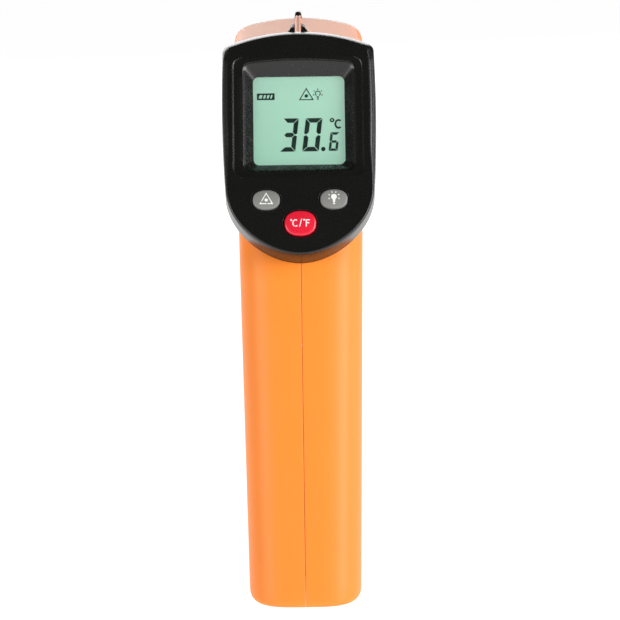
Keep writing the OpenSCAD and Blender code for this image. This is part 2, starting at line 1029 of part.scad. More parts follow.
module battery_cell_left() {
    color("#3c3f45")
        in_handle()
            translate([-cell_x, cell_y, bay_bottom + plate_thick + contact_spring])
                battery_cell();
}

module battery_cell_right() {
    color("#3c3f45")
        in_handle()
            translate([cell_x, cell_y, bay_bottom + plate_thick + cell_length])
                mirror([0, 0, 1])
                    battery_cell();
}

module battery_springs() {
    color("silver")
        in_handle() {
            translate([-cell_x, cell_y, bay_bottom + plate_thick])
                coil(3.6, 2, contact_spring, 3, 0.3);
            translate([cell_x, cell_y, bay_top - plate_thick])
                mirror([0, 0, 1])
                    coil(3.6, 2, contact_spring, 3, 0.3);
        }
}

module battery_plates() {
    color("silver")
        in_handle() {
            box([-10, 4, bay_bottom], [10, 10.3, bay_bottom + plate_thick]);
            for (side = [-1, 1])
                box([side * cell_x - 4.2, 4, bay_top - plate_thick], [side * cell_x + 4.2, 10.3, bay_top]);
        }
}

// ---------- wires ----------

tray_top = bay_top + bay_wall;
tray_wire_y = cell_y * cos(handle_lean) + tray_top * sin(handle_lean);
tray_wire_z = tray_top * cos(handle_lean) - cell_y * sin(handle_lean);

// A point at a height on the face, at a depth behind the main board
function behind_board(x, up, back) =
    let (h = -board_depth - board_thick - back)
    [x, face_y + up * sin(face_tilt) - h * cos(face_tilt), face_z + up * cos(face_tilt) + h * sin(face_tilt)];

module battery_leads() {
    for (side = [-1, 1])
        color(side < 0 ? "#c02020" : "#202020")
            wire(smooth_path([
                [side * 6, tray_wire_y, tray_wire_z],
                [side * 6, tray_wire_y + 0.8, tray_wire_z + 5],
                [side * 6.6, 19.5, 76],
                [side * 6, 17, 87],
                [side * 4, 14.5, 96],
                behind_board(side * 4, -26, 3),
                behind_board(side * 4, -26, 0)
            ], 5), 0.5);
}

module sensor_leads() {
    color("#d8d8d0")
        for (x = [-1.6, 0, 1.6])
            wire(smooth_path([
                [x, tube_back - board_thick, lens_z - 2],
                [x, 41, lens_z - 1.6],
                [x * 1.3, 33, lens_z - 1],
                behind_board(x * 1.3, 1, 4),
                behind_board(x, 1, 0)
            ], 5), 0.35);
}

module laser_leads() {
    for (k = [0, 1])
        color(k == 0 ? "#c02020" : "#202020")
            wire(smooth_path([
                [1.2 - 2.4 * k, barrel_front - 1.7, laser_z + 1.2],
                [1.2 - 1.6 * k, barrel_front - 4, laser_z + 2],
                [2.6 - 1.4 * k, 54, 123.6],
                [8 - 1.4 * k, 46, 125.2],
                [11.2 - 1.4 * k, 38, 126],
                [10.6 - 1.4 * k, 28, 126],
                behind_board(9 - 1.4 * k, -4, 3),
                behind_board(9 - 1.4 * k, -4, 0)
            ], 5), 0.4);
}

module trigger_leads() {
    color("#d8c020")
        for (x = [-1.2, 1.2])
            wire(smooth_path([
                [x, 24.2, spring_top + 0.6],
                [x, 22.6, spring_top + 0.4],
                behind_board(x, -8, 2),
                behind_board(x, -8, 0)
            ], 5), 0.35);
}

housing_left();
housing_right();
display_bezel();
display_window();
window_gasket();
lcd_panel();
lcd_backlight();
backlight_leds();
lcd_frame();
zebra_connector();
main_board();
board_chips();
board_screws();
laser_button();
backlight_button();
unit_button();
laser_switch();
backlight_switch();
unit_switch();
laser_plunger();
backlight_plunger();
unit_plunger();
nose();
lens_tube();
infrared_lens();
lens_retainer();
lens_seal();
thermopile_sensor();
sensor_board();
laser_module();
laser_board();
laser_window();
trigger();
trigger_spring();
trigger_switch();
trigger_plunger();
trigger_board();
battery_door();
battery_tray();
battery_cell_left();
battery_cell_right();
battery_springs();
battery_plates();
housing_screws();
battery_leads();
sensor_leads();
laser_leads();
trigger_leads();
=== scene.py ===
"""Pistol-shaped infrared thermometer: the looks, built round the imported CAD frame.

Shapes are drawn in millimetres with the same driving sizes as the CAD part, and MM turns them
into metres. X runs across, +Y points out of the nose and +Z is up.
"""

import math

import bmesh
import bpy
from mathutils import Matrix, Vector


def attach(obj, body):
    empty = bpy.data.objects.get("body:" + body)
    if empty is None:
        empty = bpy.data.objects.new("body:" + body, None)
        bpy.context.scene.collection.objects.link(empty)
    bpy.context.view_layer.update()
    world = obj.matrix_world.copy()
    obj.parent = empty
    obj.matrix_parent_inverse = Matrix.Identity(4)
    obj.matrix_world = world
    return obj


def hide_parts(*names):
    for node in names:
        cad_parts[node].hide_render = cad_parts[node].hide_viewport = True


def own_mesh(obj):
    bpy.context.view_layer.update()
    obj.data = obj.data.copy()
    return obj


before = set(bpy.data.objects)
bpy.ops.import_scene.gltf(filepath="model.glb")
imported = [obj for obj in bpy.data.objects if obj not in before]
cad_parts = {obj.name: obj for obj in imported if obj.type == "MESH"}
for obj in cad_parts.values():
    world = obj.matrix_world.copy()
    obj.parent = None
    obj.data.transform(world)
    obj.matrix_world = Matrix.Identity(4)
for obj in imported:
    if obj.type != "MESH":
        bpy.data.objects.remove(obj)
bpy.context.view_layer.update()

MM = 0.001
BODY = "housing"


# ---------- camera, light and floor ----------

VIEW_ELEVATION = math.radians(12)
VIEW_ROLL = math.radians(0.8)
VIEW_DISTANCE = 0.9
VIEW_TARGET = Vector((0.00229, 0.020, 0.0765))
LENS_MM = 184.6
SENSOR_MM = 36.0


def make_camera():
    """Camera behind the display, a little above it, rolled as a hand-held shot is."""
    towards = Vector((0, -math.cos(VIEW_ELEVATION), math.sin(VIEW_ELEVATION)))
    level = Vector((1, 0, 0))
    upright = Vector((0, math.sin(VIEW_ELEVATION), math.cos(VIEW_ELEVATION)))
    right = level * math.cos(VIEW_ROLL) - upright * math.sin(VIEW_ROLL)
    up = level * math.sin(VIEW_ROLL) + upright * math.cos(VIEW_ROLL)
    data = bpy.data.cameras.new("camera")
    data.lens = LENS_MM
    data.sensor_width = SENSOR_MM
    data.clip_start = 0.01
    data.clip_end = 50
    camera = bpy.data.objects.new("camera", data)
    place = VIEW_TARGET + VIEW_DISTANCE * towards
    camera.matrix_world = Matrix((
        (right.x, up.x, towards.x, place.x),
        (right.y, up.y, towards.y, place.y),
        (right.z, up.z, towards.z, place.z),
        (0, 0, 0, 1),
    ))
    bpy.context.collection.objects.link(camera)
    bpy.context.scene.camera = camera


def area_light(name, place, aim, size, watts):
    """Softbox at place, turned to face aim."""
    data = bpy.data.lights.new(name, "AREA")
    data.shape = "RECTANGLE"
    data.size, data.size_y = size
    data.energy = watts
    lamp = bpy.data.objects.new(name, data)
    lamp.location = place
    lamp.rotation_euler = (Vector(aim) - Vector(place)).to_track_quat("-Z", "Y").to_euler()
    bpy.context.collection.objects.link(lamp)


def make_light():
    """Wide softboxes at both sides and one low behind the object, which lights its upper rims."""
    middle = (0, 0.02, 0.08)
    area_light("key", (0.8, -0.62, 0.32), middle, (0.5, 0.8), 11.2)
    area_light("fill", (-0.85, -0.75, 0.25), middle, (0.5, 0.7), 6.6)
    area_light("right_box", (0.7, 0.1, 0.15), (0, 0, 0.12), (0.35, 0.5), 1.1)
    area_light("back_box", (-0.25, 1.0, 0.45), (0, 0.03, 0.15), (1.3, 0.5), 7.5)
    area_light("left_box", (-0.7, 0.1, 0.15), (0, 0, 0.12), (0.35, 0.5), 0.3)
    world = bpy.data.worlds.new("studio")
    world.use_nodes = True
    world.node_tree.nodes["Background"].inputs["Color"].default_value = (1, 1, 1, 1)
    world.node_tree.nodes["Background"].inputs["Strength"].default_value = 0.05
    bpy.context.scene.world = world
    bpy.context.scene.view_settings.view_transform = "Standard"


def make_floor():
    """Plain white light table that runs far enough back to fill the picture."""
    side = 8.0
    mesh = bpy.data.meshes.new("floor")
    corners = [(-side, -side, 0), (side, -side, 0), (side, side, 0), (-side, side, 0)]
    mesh.from_pydata(corners, [], [(0, 1, 2, 3)])
    floor = bpy.data.objects.new("floor", mesh)
    bpy.context.collection.objects.link(floor)
    paint = bpy.data.materials.new("floor_paint")
    paint.use_nodes = True
    shader = paint.node_tree.nodes["Principled BSDF"]
    shader.inputs["Base Color"].default_value = (0.4, 0.4, 0.4, 1)
    shader.inputs["Roughness"].default_value = 0.9
    shader.inputs["Specular IOR Level"].default_value = 0.1
    shader.inputs["Emission Color"].default_value = (1, 1, 1, 1)
    shader.inputs["Emission Strength"].default_value = 0.95
    mesh.materials.append(paint)


make_camera()
make_light()
make_floor()


# ---------- materials ----------

def srgb(red, green, blue):
    """Linear colour of a screen colour, each channel from 0 to 255."""
    def linear(v):
        v /= 255
        return v / 12.92 if v <= 0.04045 else ((v + 0.055) / 1.055) ** 2.4
    return (linear(red), linear(green), linear(blue), 1)


def shade(colour, factor):
    return tuple(min(1, c * factor) for c in colour[:3]) + (1,)


class Paint:
    """A principled material whose colour, roughness and relief come from noise in object space."""

    def __init__(self, name, colour, roughness,
                 metallic=0.0, variation=0.06, rough_spread=0.06, blotch=0.012):
        self.material = bpy.data.materials.new(name)
        self.material.use_nodes = True
        self.tree = self.material.node_tree
        self.shader = self.tree.nodes["Principled BSDF"]
        self.shader.inputs["Metallic"].default_value = metallic
        self.place = self.node("ShaderNodeTexCoord").outputs["Object"]
        broad = self.noise(1 / blotch, 3)
        self.link(self.ramp(broad, shade(colour, 1 - variation), shade(colour, 1 + variation)), "Base Color")
        fine = self.noise(2200, 4)
        self.link(self.spread(fine, roughness - rough_spread, roughness + rough_spread), "Roughness")

    def node(self, kind, **inputs):
        made = self.tree.nodes.new(kind)
        for name, value in inputs.items():
            made.inputs[name.replace("_", " ")].default_value = value
        return made

    def wire(self, output, socket):
        self.tree.links.new(output, socket)

    def link(self, output, name):
        """Wires an output to the shader's socket of that name."""
        self.wire(output, self.shader.inputs[name])

    def noise(self, scale, detail):
        made = self.node("ShaderNodeTexNoise", Scale=scale, Detail=detail)
        self.wire(self.place, made.inputs["Vector"])
        return made.outputs["Fac"]

    def ramp(self, value, low, high, start=0.3, end=0.7):
        made = self.node("ShaderNodeValToRGB")
        made.color_ramp.elements[0].color = low
        made.color_ramp.elements[0].position = start
        made.color_ramp.elements[1].color = high
        made.color_ramp.elements[1].position = end
        self.wire(value, made.inputs["Fac"])
        return made.outputs["Color"]

    def spread(self, value, low, high):
        made = self.node("ShaderNodeMapRange", From_Min=0.3, From_Max=0.7, To_Min=low, To_Max=high)
        self.wire(value, made.inputs["Value"])
        return made.outputs["Result"]

    def relief(self, value, strength, depth):
        """Bumps of that depth in metres, on top of any relief made before."""
        made = self.node("ShaderNodeBump", Strength=strength, Distance=depth)
        self.wire(value, made.inputs["Height"])
        held = self.shader.inputs["Normal"]
        if held.is_linked:
            self.wire(held.links[0].from_socket, made.inputs["Normal"])
        self.link(made.outputs["Normal"], "Normal")
        return self

    def grain(self, size_mm, strength=0.25, depth_mm=0.02):
        """Fine moulded grain."""
        return self.relief(self.noise(1 / (size_mm * MM), 2), strength, depth_mm * MM)

    def edges(self, radius_mm, lighten):
        """Rounded rims, a little paler along them as a painted highlight."""
        rounded = self.node("ShaderNodeBevel", Radius=radius_mm * MM)
        rounded.samples = 6
        held = self.shader.inputs["Normal"]
        bump = held.links[0].from_node if held.is_linked else None
        plain = self.node("ShaderNodeNewGeometry").outputs["Normal"]
        dot = self.node("ShaderNodeVectorMath")
        dot.operation = "DOT_PRODUCT"
        self.wire(rounded.outputs["Normal"], dot.inputs[0])
        self.wire(plain, dot.inputs[1])
        # Painted highlight: the colour is mixed towards pale grey where the bevelled normal leans away from
        # the flat one, along the rims.
        painted_edge_highlight = self.node("ShaderNodeMapRange", From_Min=1.0, From_Max=0.75, To_Min=0.0, To_Max=lighten)
        self.wire(dot.outputs["Value"], painted_edge_highlight.inputs["Value"])
        base = self.shader.inputs["Base Color"].links[0].from_socket
        mix = self.node("ShaderNodeMix")
        mix.data_type = "RGBA"
        self.wire(painted_edge_highlight.outputs["Result"], mix.inputs["Factor"])
        self.wire(base, mix.inputs["A"])
        mix.inputs["B"].default_value = (0.5, 0.48, 0.45, 1)
        self.link(mix.outputs["Result"], "Base Color")
        while bump is not None:
            before = bump.inputs["Normal"]
            if not before.is_linked:
                self.wire(rounded.outputs["Normal"], before)
                break
            bump = before.links[0].from_node
        return self

    def set(self, **inputs):
        for name, value in inputs.items():
            self.shader.inputs[name.replace("_", " ")].default_value = value
        return self


def screen_paint():
    """Lit display glass: pale green, a little brighter towards the top right. The glow is partly the real
    backlight and partly painted light, standing in for the lamp light that the glass window keeps off the
    panel.
    """
    paint = Paint("display_glass", srgb(150, 196, 172), 0.35, variation=0.02)
    split = paint.node("ShaderNodeSeparateXYZ")
    paint.wire(paint.place, split.inputs["Vector"])
    tilt = paint.node("ShaderNodeMath")
    tilt.operation = "MULTIPLY_ADD"
    tilt.inputs[1].default_value = 0.6
    paint.wire(split.outputs["X"], tilt.inputs[0])
    paint.wire(split.outputs["Z"], tilt.inputs[2])
    across = paint.node("ShaderNodeMapRange", From_Min=0.112, From_Max=0.152, To_Min=0.0, To_Max=1.0)
    paint.wire(tilt.outputs["Value"], across.inputs["Value"])
    glow = paint.ramp(across.outputs["Result"], srgb(158, 204, 184), srgb(184, 222, 204), 0.0, 1.0)
    paint.link(glow, "Emission Color")
    # Painted light in part: the emission is strong enough to stand in for lamp light that the glass window
    # keeps off the panel.
    paint.shader.inputs["Emission Strength"].default_value = 0.55
    return paint.material


def jacket_paint(name, upright):
    """Cell jacket: dark sleeve with a gold band at the positive end, which is the top when upright."""
    sleeve, gold = srgb(40, 44, 52), srgb(196, 150, 70)
    paint = Paint(name, sleeve, 0.25, variation=0.08)
    split = paint.node("ShaderNodeSeparateXYZ")
    paint.wire(paint.place, split.inputs["Vector"])
    if upright:
        band = paint.ramp(split.outputs["Z"], sleeve, gold, 0.0440, 0.0445)
    else:
        band = paint.ramp(split.outputs["Z"], gold, sleeve, 0.0285, 0.0290)
    paint.link(band, "Base Color")
    return paint.material


def painted(name, colour, roughness, grain=None, edges=None,
            metallic=0.0, variation=0.06, rough_spread=0.06, blotch=0.012, **sockets):
    """Material with a moulded grain, rounded rims with a painted edge highlight, and any other values of the
    shader's sockets.
    """
    paint = Paint(name, colour, roughness, metallic, variation, rough_spread, blotch)
    if grain:
        paint.grain(*grain)
    if edges:
        paint.edges(*edges)
    return paint.set(**sockets).material


orange = painted("orange_shell", (0.95, 0.25, 0.024, 1), 0.46, (0.35, 0.08), (0.25, 0.1), variation=0.015,
                 Specular_IOR_Level=0.4)
black = painted("black_shell", srgb(14, 14, 13), 0.28, (0.3, 0.04), (0.12, 0.12), variation=0.08,
                rough_spread=0.03)
door_plastic = painted("door_plastic", srgb(24, 23, 22), 0.42, (0.3, 0.2), (0.12, 0.6), variation=0.1)
trigger_plastic = painted("trigger_plastic", srgb(24, 23, 22), 0.36, (0.3, 0.2), (0.12, 0.6), variation=0.1)
grey_rubber = painted("grey_button", srgb(124, 124, 121), 0.5, (0.22, 0.5, 0.03), variation=0.05)
red_rubber = painted("red_button", (0.72, 0.012, 0.035, 1), 0.3, (0.3, 0.12), variation=0.03,
                     Coat_Weight=0.3, Coat_Roughness=0.2)
pale_ink = painted("pale_ink", srgb(232, 232, 228), 0.5, variation=0.03)
segment_ink = painted("segment_ink", srgb(14, 52, 42), 0.45, variation=0.05)
steel = painted("steel_fastener", (0.58, 0.58, 0.57, 1), 0.3, (0.2, 0.15), metallic=1)
spring_steel = painted("spring_steel", (0.66, 0.65, 0.62, 1), 0.24, (0.15, 0.1), metallic=1)
brass = painted("laser_brass", (0.66, 0.45, 0.18, 1), 0.28, (0.2, 0.12), metallic=1)
cell_metal = painted("cell_metal", (0.7, 0.69, 0.66, 1), 0.27, (0.3, 0.1), metallic=1)
tube_metal = painted("tube_metal", srgb(38, 38, 42), 0.5, (0.2, 0.2), metallic=0.6)
white_plastic = painted("white_plastic", srgb(230, 228, 220), 0.45, (0.3, 0.1))
dark_rubber = painted("seal_rubber", srgb(26, 26, 27), 0.7, (0.2, 0.3))
light_guide = painted("light_guide", srgb(226, 240, 220), 0.25)
elastomer = painted("elastomer", srgb(196, 104, 122), 0.6, (0.3, 0.2))
circuit_board = painted("circuit_board", srgb(24, 92, 52), 0.35, (0.5, 0.15), variation=0.2, blotch=0.004)
chip = painted("chip", srgb(34, 34, 37), 0.55, (0.15, 0.2))
switch_plastic = painted("switch_body", srgb(52, 52, 55), 0.45, (0.2, 0.2))
plunger_plastic = painted("switch_plunger", srgb(206, 198, 184), 0.4, (0.2, 0.2))
tray_plastic = painted("tray_plastic", srgb(30, 30, 31), 0.5, (0.3, 0.3), (0.12, 0.5), variation=0.12)
wire_cover = painted("wire_cover", srgb(170, 34, 30), 0.4)
pale_wire = painted("pale_wire", srgb(214, 214, 206), 0.4)
yellow_wire = painted("yellow_wire", srgb(206, 184, 40), 0.4)
clear_window = painted("clear_window", (1, 1, 1, 1), 0.03, variation=0, rough_spread=0.01,
                       Transmission_Weight=1.0, IOR=1.45)
red_glass = painted("red_glass", (0.75, 0.03, 0.03, 1), 0.05, variation=0, rough_spread=0.02,
                    Transmission_Weight=1.0, IOR=1.5)
infrared_glass = painted("infrared_glass", (0.36, 0.37, 0.42, 1), 0.08, metallic=0.85, rough_spread=0.03,
                         Coat_Weight=0.6, Coat_Roughness=0.03)
display_glass = screen_paint()
upright_jacket = jacket_paint("cell_jacket", True)
turned_jacket = jacket_paint("cell_jacket_turned", False)

# ---------- sizes shared with the CAD part, in millimetres ----------

WALL = 2.0
SEAM_GAP = 0.04
SEAM_ROUND = 0.22

HANDLE_LEAN = math.atan((0.208 + 0.165) / 2)
HANDLE_NECK = 91.5
HANDLE_HALF = 15.6
HANDLE_TOP = 112.0
HANDLE_TOP_REAR = 10.6
BASE_ROUND = 2.2

FACE_TILT = math.radians(24)
FACE_Y = 10.0
FACE_Z = 133.1
ARCH_R = 54.0
OUTLINE_TOP = 25.8
OUTLINE_HALF = 21.6
OUTLINE_CORNER_R = 3.0
OUTLINE_CORNER_UP = 18.3
CHIN_START = -21.4
CHIN_LENGTH = 18.1
CHIN_POWER = 1.9
BEZEL_DEPTH = 8.5
BEZEL_EDGE = 2.4
CORNER_EDGE = 0.9
CHIN_EDGE = 7.6
PANEL_DEPTH = 0.45
BARREL_STEP = 1.8
SCREEN_HALF = 12.7
MOUTH_HALF = 15.3
SCREEN_DEPTH = 3.7
GLASS_FRONT = -5.1

BARREL_HALF = 18.6
BARREL_FRONT = 66.0
BARREL_BOTTOM = 111.0
BARREL_TOP = 153.9
BARREL_RISE = 0.0921
SECTION_TOP_R = 5.0
SECTION_BOTTOM_R = 9.0

NOSE_LENGTH = 17.0
LENS_Z = 136.0
LASER_Z = 119.5
CONE_MOUTH_R = 10.5
CONE_BOTTOM_R = 6.0
CONE_START = 67.0

PIVOT_Y = 41.0
PIVOT_Z = 113.0
TRIGGER_HALF = 6.0
ARM_TOP = 115.2
SPRING_Y = 34.5
SPRING_TOP = 121.2

DOOR_HALF = 11.2
DOOR_TOP = 68.4
DOOR_PIVOT = (12.6, 6.8)
DOOR_ROUND_R = 6.3
MOVING_GAP = 0.3

GREY_BUTTON = (3.75, 2.75)
RED_BUTTON = (4.35, 3.5)
GREY_X = 9.3
GREY_UP = -23.5
RED_UP = -30.2
BUTTON_PROUD = 1.2
BUTTON_POWER = 2.3
BUTTON_SHOULDER = 0.6

CELL_R = 5.25
CELL_LENGTH = 44.5
CELL_X = 5.6
CELL_Y = 8.5
CELL_LOW = 16.9
BAY_LOW = 13.6
BAY_TOP = 61.8
BOSS_R = 3.6
SCREW_HEAD_R = 2.7
SCREW_R = 1.25
SCREWS = ((2, 8, 14.4), (13, 82, 15.8), (36, 145.1, 15.6), (54, 117, 15.5))


# ---------- places ----------

def on_face(x, up, out):
    """A point of the display's tilted face."""
    sine, cosine = math.sin(FACE_TILT), math.cos(FACE_TILT)
    return (x, FACE_Y + up * sine - out * cosine, FACE_Z + up * cosine + out * sine)


def in_handle(x, y, z):
    """A point given along the leaning axis of the handle."""
    sine, cosine = math.sin(HANDLE_LEAN), math.cos(HANDLE_LEAN)
    return (x, y * cosine + z * sine, z * cosine - y * sine)


# ---------- mesh tools ----------

def make(name, verts, faces, paint=None, sharp=40):
    """Mesh object from points in millimetres, shaded smooth except at edges sharper than that angle."""
    mesh = bpy.data.meshes.new(name)
    mesh.from_pydata([[c * MM for c in v] for v in verts], [], faces)
    work = bmesh.new()
    work.from_mesh(mesh)
    bmesh.ops.remove_doubles(work, verts=work.verts, dist=1e-7)
    bmesh.ops.recalc_face_normals(work, faces=work.faces)
    work.to_mesh(mesh)
    work.free()
    thing = bpy.data.objects.new(name, mesh)
    bpy.context.collection.objects.link(thing)
    finish_shading(thing, paint, sharp)
    return thing


def finish_shading(thing, paint, sharp=40, even_out=False):
    """Smooth shading with sharp edges kept. even_out lets large faces set the normals of cut ones."""
    mesh = thing.data
    mesh.polygons.foreach_set("use_smooth", [True] * len(mesh.polygons))
    mesh.set_sharp_from_angle(angle=math.radians(sharp))
    if even_out:
        weighted = thing.modifiers.new("weighted", "WEIGHTED_NORMAL")
        weighted.keep_sharp = True
    if paint is not None:
        mesh.materials.clear()
        mesh.materials.append(paint)


def loft(rings):
    """Points and faces of a skin over rings of equal length, with both ends capped."""
    count = len(rings[0])
    verts = [p for ring in rings for p in ring]
    faces = [
        (i * count + k, i * count + (k + 1) % count, (i + 1) * count + (k + 1) % count, (i + 1) * count + k)
        for i in range(len(rings) - 1) for k in range(count)
    ]
    faces.append(tuple(reversed(range(count))))
    faces.append(tuple((len(rings) - 1) * count + k for k in range(count)))
    return verts, faces


def combine(target, tool, operation):
    """Exact boolean of target with tool, which is used up."""
    step = target.modifiers.new("step", "BOOLEAN")
    step.operation = operation
    step.solver = "EXACT"
    step.object = tool
    seen = target.evaluated_get(bpy.context.evaluated_depsgraph_get())
    mesh = bpy.data.meshes.new_from_object(seen)
    target.modifiers.clear()
    old = target.data
    target.data = mesh
    bpy.data.meshes.remove(old)
    bpy.data.objects.remove(tool)
    return target


def cut(target, *tools):
    for tool in tools:
        combine(target, tool, "DIFFERENCE")
    return target


def add(target, *tools):
    for tool in tools:
        combine(target, tool, "UNION")
    return target


def join(name, parts):
    """One object from several that don't touch or may overlap, each with its own material."""
    bpy.ops.object.select_all(action="DESELECT")
    for part in parts:
        part.select_set(True)
    bpy.context.view_layer.objects.active = parts[0]
    bpy.ops.object.join()
    parts[0].name = name
    return parts[0]


def mounted(thing, slot_name, *nodes, body=BODY):
    """Puts a finished piece on its body, in place of the CAD nodes that it stands for."""
    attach(thing, body)
    if nodes:
        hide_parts(*nodes)
    return thing


def block(low, high, place=lambda x, y, z: (x, y, z)):
    """Box between two corners, in the frame that place maps from."""
    across, deep, tall = zip(low, high)
    corners = [place(x, y, z) for z in tall for y in deep for x in across]
    faces = [(0, 1, 3, 2), (4, 6, 7, 5), (0, 4, 5, 1), (2, 3, 7, 6), (0, 2, 6, 4), (1, 5, 7, 3)]
    return make("block", corners, faces)


def lathe(profile, place, paint=None, count=64, name="lathe"):
    """Solid turned about an axis: profile is (radius, along) pairs, and place maps (a, b, along) to space."""
    turns = [math.tau * k / count for k in range(count)]
    rings = [[place(r * math.cos(a), r * math.sin(a), along) for a in turns] for r, along in profile]
    return make(name, *loft(rings), paint)


def along_x(y, z):
    return lambda a, b, along: (along, y + a, z + b)


def along_y(z):
    return lambda a, b, along: (a, along, z + b)


def bar_x(x_from, x_to, y, z, r, paint=None, edge=0.0):
    """Round bar along X, with rounded rims."""
    return lathe(rod(r, x_from, x_to, edge), along_x(y, z), paint, count=48)


def rod(r, start, end, edge):
    """Profile of a rod whose rims are rounded by edge."""
    if edge <= 0:
        return [(r, start), (r, end)]
    turns = [math.radians(a) for a in (0, 30, 60, 90)]
    first = [(r - edge + edge * math.sin(t), start + edge - edge * math.cos(t)) for t in turns]
    return first + [(q, start + end - along) for q, along in reversed(first)]


def tube(path, r, paint, name="tube"):
    """Round wire along a path of close points, with flat ends."""
    sides = 10
    turns = [math.tau * k / sides for k in range(sides)]
    rings = []
    for i, point in enumerate(path):
        ahead = Vector(path[min(i + 1, len(path) - 1)]) - Vector(path[max(i - 1, 0)])
        across = Vector((1, 0, 0)) if abs(ahead.normalized().x) < 0.8 else Vector((0, 0, 1))
        side = ahead.cross(across).normalized()
        third = ahead.normalized().cross(side)
        rings.append([tuple(Vector(point) + r * (math.cos(a) * side + math.sin(a) * third)) for a in turns])
    return make(name, *loft(rings), paint)


# ---------- outlines ----------

def signed_power(value, power):
    return math.copysign(abs(value) ** power, value)


def turned(x, y, r, start, end, steps, count):
    """Points on an arc round (x, y), at angles to the right of straight up, from start towards end."""
    turns = [start + (end - start) * i / steps for i in range(count)]
    return [(x + r * math.sin(t), y + r * math.cos(t)) for t in turns]


def half_superellipse(a, b, power):
    """Right half, from (0, -b) round to (0, b)."""
    count = 300
    points = []
    for i in range(count + 1):
        t = math.pi * (i / count - 0.5)
        points.append((a * signed_power(math.cos(t), 2 / power), b * signed_power(math.sin(t), 2 / power)))
    points[0], points[-1] = (0, -b), (0, b)
    return points


def bezel_side(up, inset):
    return OUTLINE_HALF - (up - 4) ** 2 / 720 - inset


def half_bezel(inset):
    """Right half of the bezel's outline, from the top to the chin."""
    steps = 30
    r_top = ARCH_R - inset
    r_corner = max(OUTLINE_CORNER_R - inset, 0.4)
    x_corner = bezel_side(OUTLINE_CORNER_UP, inset) - r_corner
    centre = OUTLINE_TOP - ARCH_R
    lean = math.asin(x_corner / (r_top - r_corner))
    up_corner = centre + (r_top - r_corner) * math.cos(lean)
    chin = CHIN_LENGTH - inset
    points = turned(0, centre, r_top, 0, lean, steps, steps)
    points += turned(x_corner, up_corner, r_corner, lean, math.pi / 2, steps, steps)
    for i in range(steps):
        up = up_corner + (CHIN_START - up_corner) * i / steps
        points.append((bezel_side(up, inset), up))
    for i in range(2 * steps + 1):
        t = math.pi / 2 * i / (2 * steps)
        up = CHIN_START - chin * math.sin(t) ** (2 / CHIN_POWER)
        points.append((bezel_side(up, inset) * max(0, math.cos(t)) ** (2 / CHIN_POWER), up))
    points[-1] = (0, CHIN_START - chin)
    return points


def half_section(a, b, inset):
    """Right half of the barrel's section, from the arched top to the flat underside."""
    steps = 20
    corner_x = a - SECTION_TOP_R
    lean = math.asin(corner_x / (ARCH_R - SECTION_TOP_R))
    centre = b - ARCH_R
    corner_z = centre + (ARCH_R - SECTION_TOP_R) * math.cos(lean)
    level = math.pi / 2
    low_x, low_z = a - SECTION_BOTTOM_R, SECTION_BOTTOM_R - b
    points = turned(0, centre, ARCH_R - inset, 0, lean, steps, steps)
    points += turned(corner_x, corner_z, SECTION_TOP_R - inset, lean, level, steps, steps + 1)
    points += turned(low_x, low_z, SECTION_BOTTOM_R - inset, level, math.pi, steps, steps + 1)
    return points + [(0, inset - b)]


def respaced(path, stations):
    """Points of a polyline at the given distances along it."""
    reach = [0]
    for p, q in zip(path, path[1:]):
        reach.append(reach[-1] + math.dist(p, q))
    points = []
    k = 0
    for s in stations:
        s = min(s, reach[-1])
        while k < len(path) - 2 and reach[k + 1] < s:
            k += 1
        span = reach[k + 1] - reach[k]
        t = (s - reach[k]) / span if span else 0
        points.append(tuple(a + (b - a) * t for a, b in zip(path[k], path[k + 1])))
    return points


def path_length(path):
    return sum(math.dist(p, q) for p, q in zip(path, path[1:]))


def even(path, count):
    total = path_length(path)
    return respaced(path, [total * i / count for i in range(count + 1)])


def seamed(path, count=44):
    """Half outline that turns in at both ends, where one moulded half meets the other."""
    total = path_length(path)
    near = [SEAM_ROUND * i / 4 for i in range(5)]
    middle = [SEAM_ROUND + (total - 2 * SEAM_ROUND) * i / count for i in range(1, count)]
    stations = near + middle + [total - s for s in reversed(near)]
    points = respaced(path, stations)
    start, end = path[0], path[-1]
    upright = 1 if end[1] > start[1] else -1
    shaped = []
    for s, (x, v) in zip(stations, points):
        if s < SEAM_ROUND:
            v += upright * (SEAM_ROUND - math.sqrt(SEAM_ROUND ** 2 - (SEAM_ROUND - s) ** 2))
        if total - s < SEAM_ROUND:
            v -= upright * (SEAM_ROUND - math.sqrt(SEAM_ROUND ** 2 - (SEAM_ROUND - total + s) ** 2))
        shaped.append((max(x, 0) + SEAM_GAP, v))
    return shaped


def plain_half(path, count=44):
    """Half outline that runs a little past the seam, for hollows."""
    points = even(path, count)
    return [(-1, points[0][1])] + points + [(-1, points[-1][1])]


def full(half):
    """Closed outline from its right half."""
    return half + [(-x, v) for x, v in reversed(half) if abs(x) > 1e-6]


# ---------- housing ----------

def handle_front(z):
    return 18 + 0.165 * z


def handle_rear(z):
    if z <= HANDLE_NECK:
        return -18 + 0.208 * z
    low = -18 + 0.208 * HANDLE_NECK
    return low + (HANDLE_TOP_REAR - low) * (z - HANDLE_NECK) / (HANDLE_TOP - HANDLE_NECK)


def handle_path(z, inset, corner=0.0):
    """Half outline of the handle at a height: inset moves it in, and corner rounds it down to the base."""
    front, rear = handle_front(z), handle_rear(z)
    half = HANDLE_HALF + 0.0174 * z - inset - corner
    deep = (front - rear) / 2 - inset - corner
    middle = (front + rear) / 2
    return [(x, middle + y) for x, y in half_superellipse(half, deep, 3.5)]


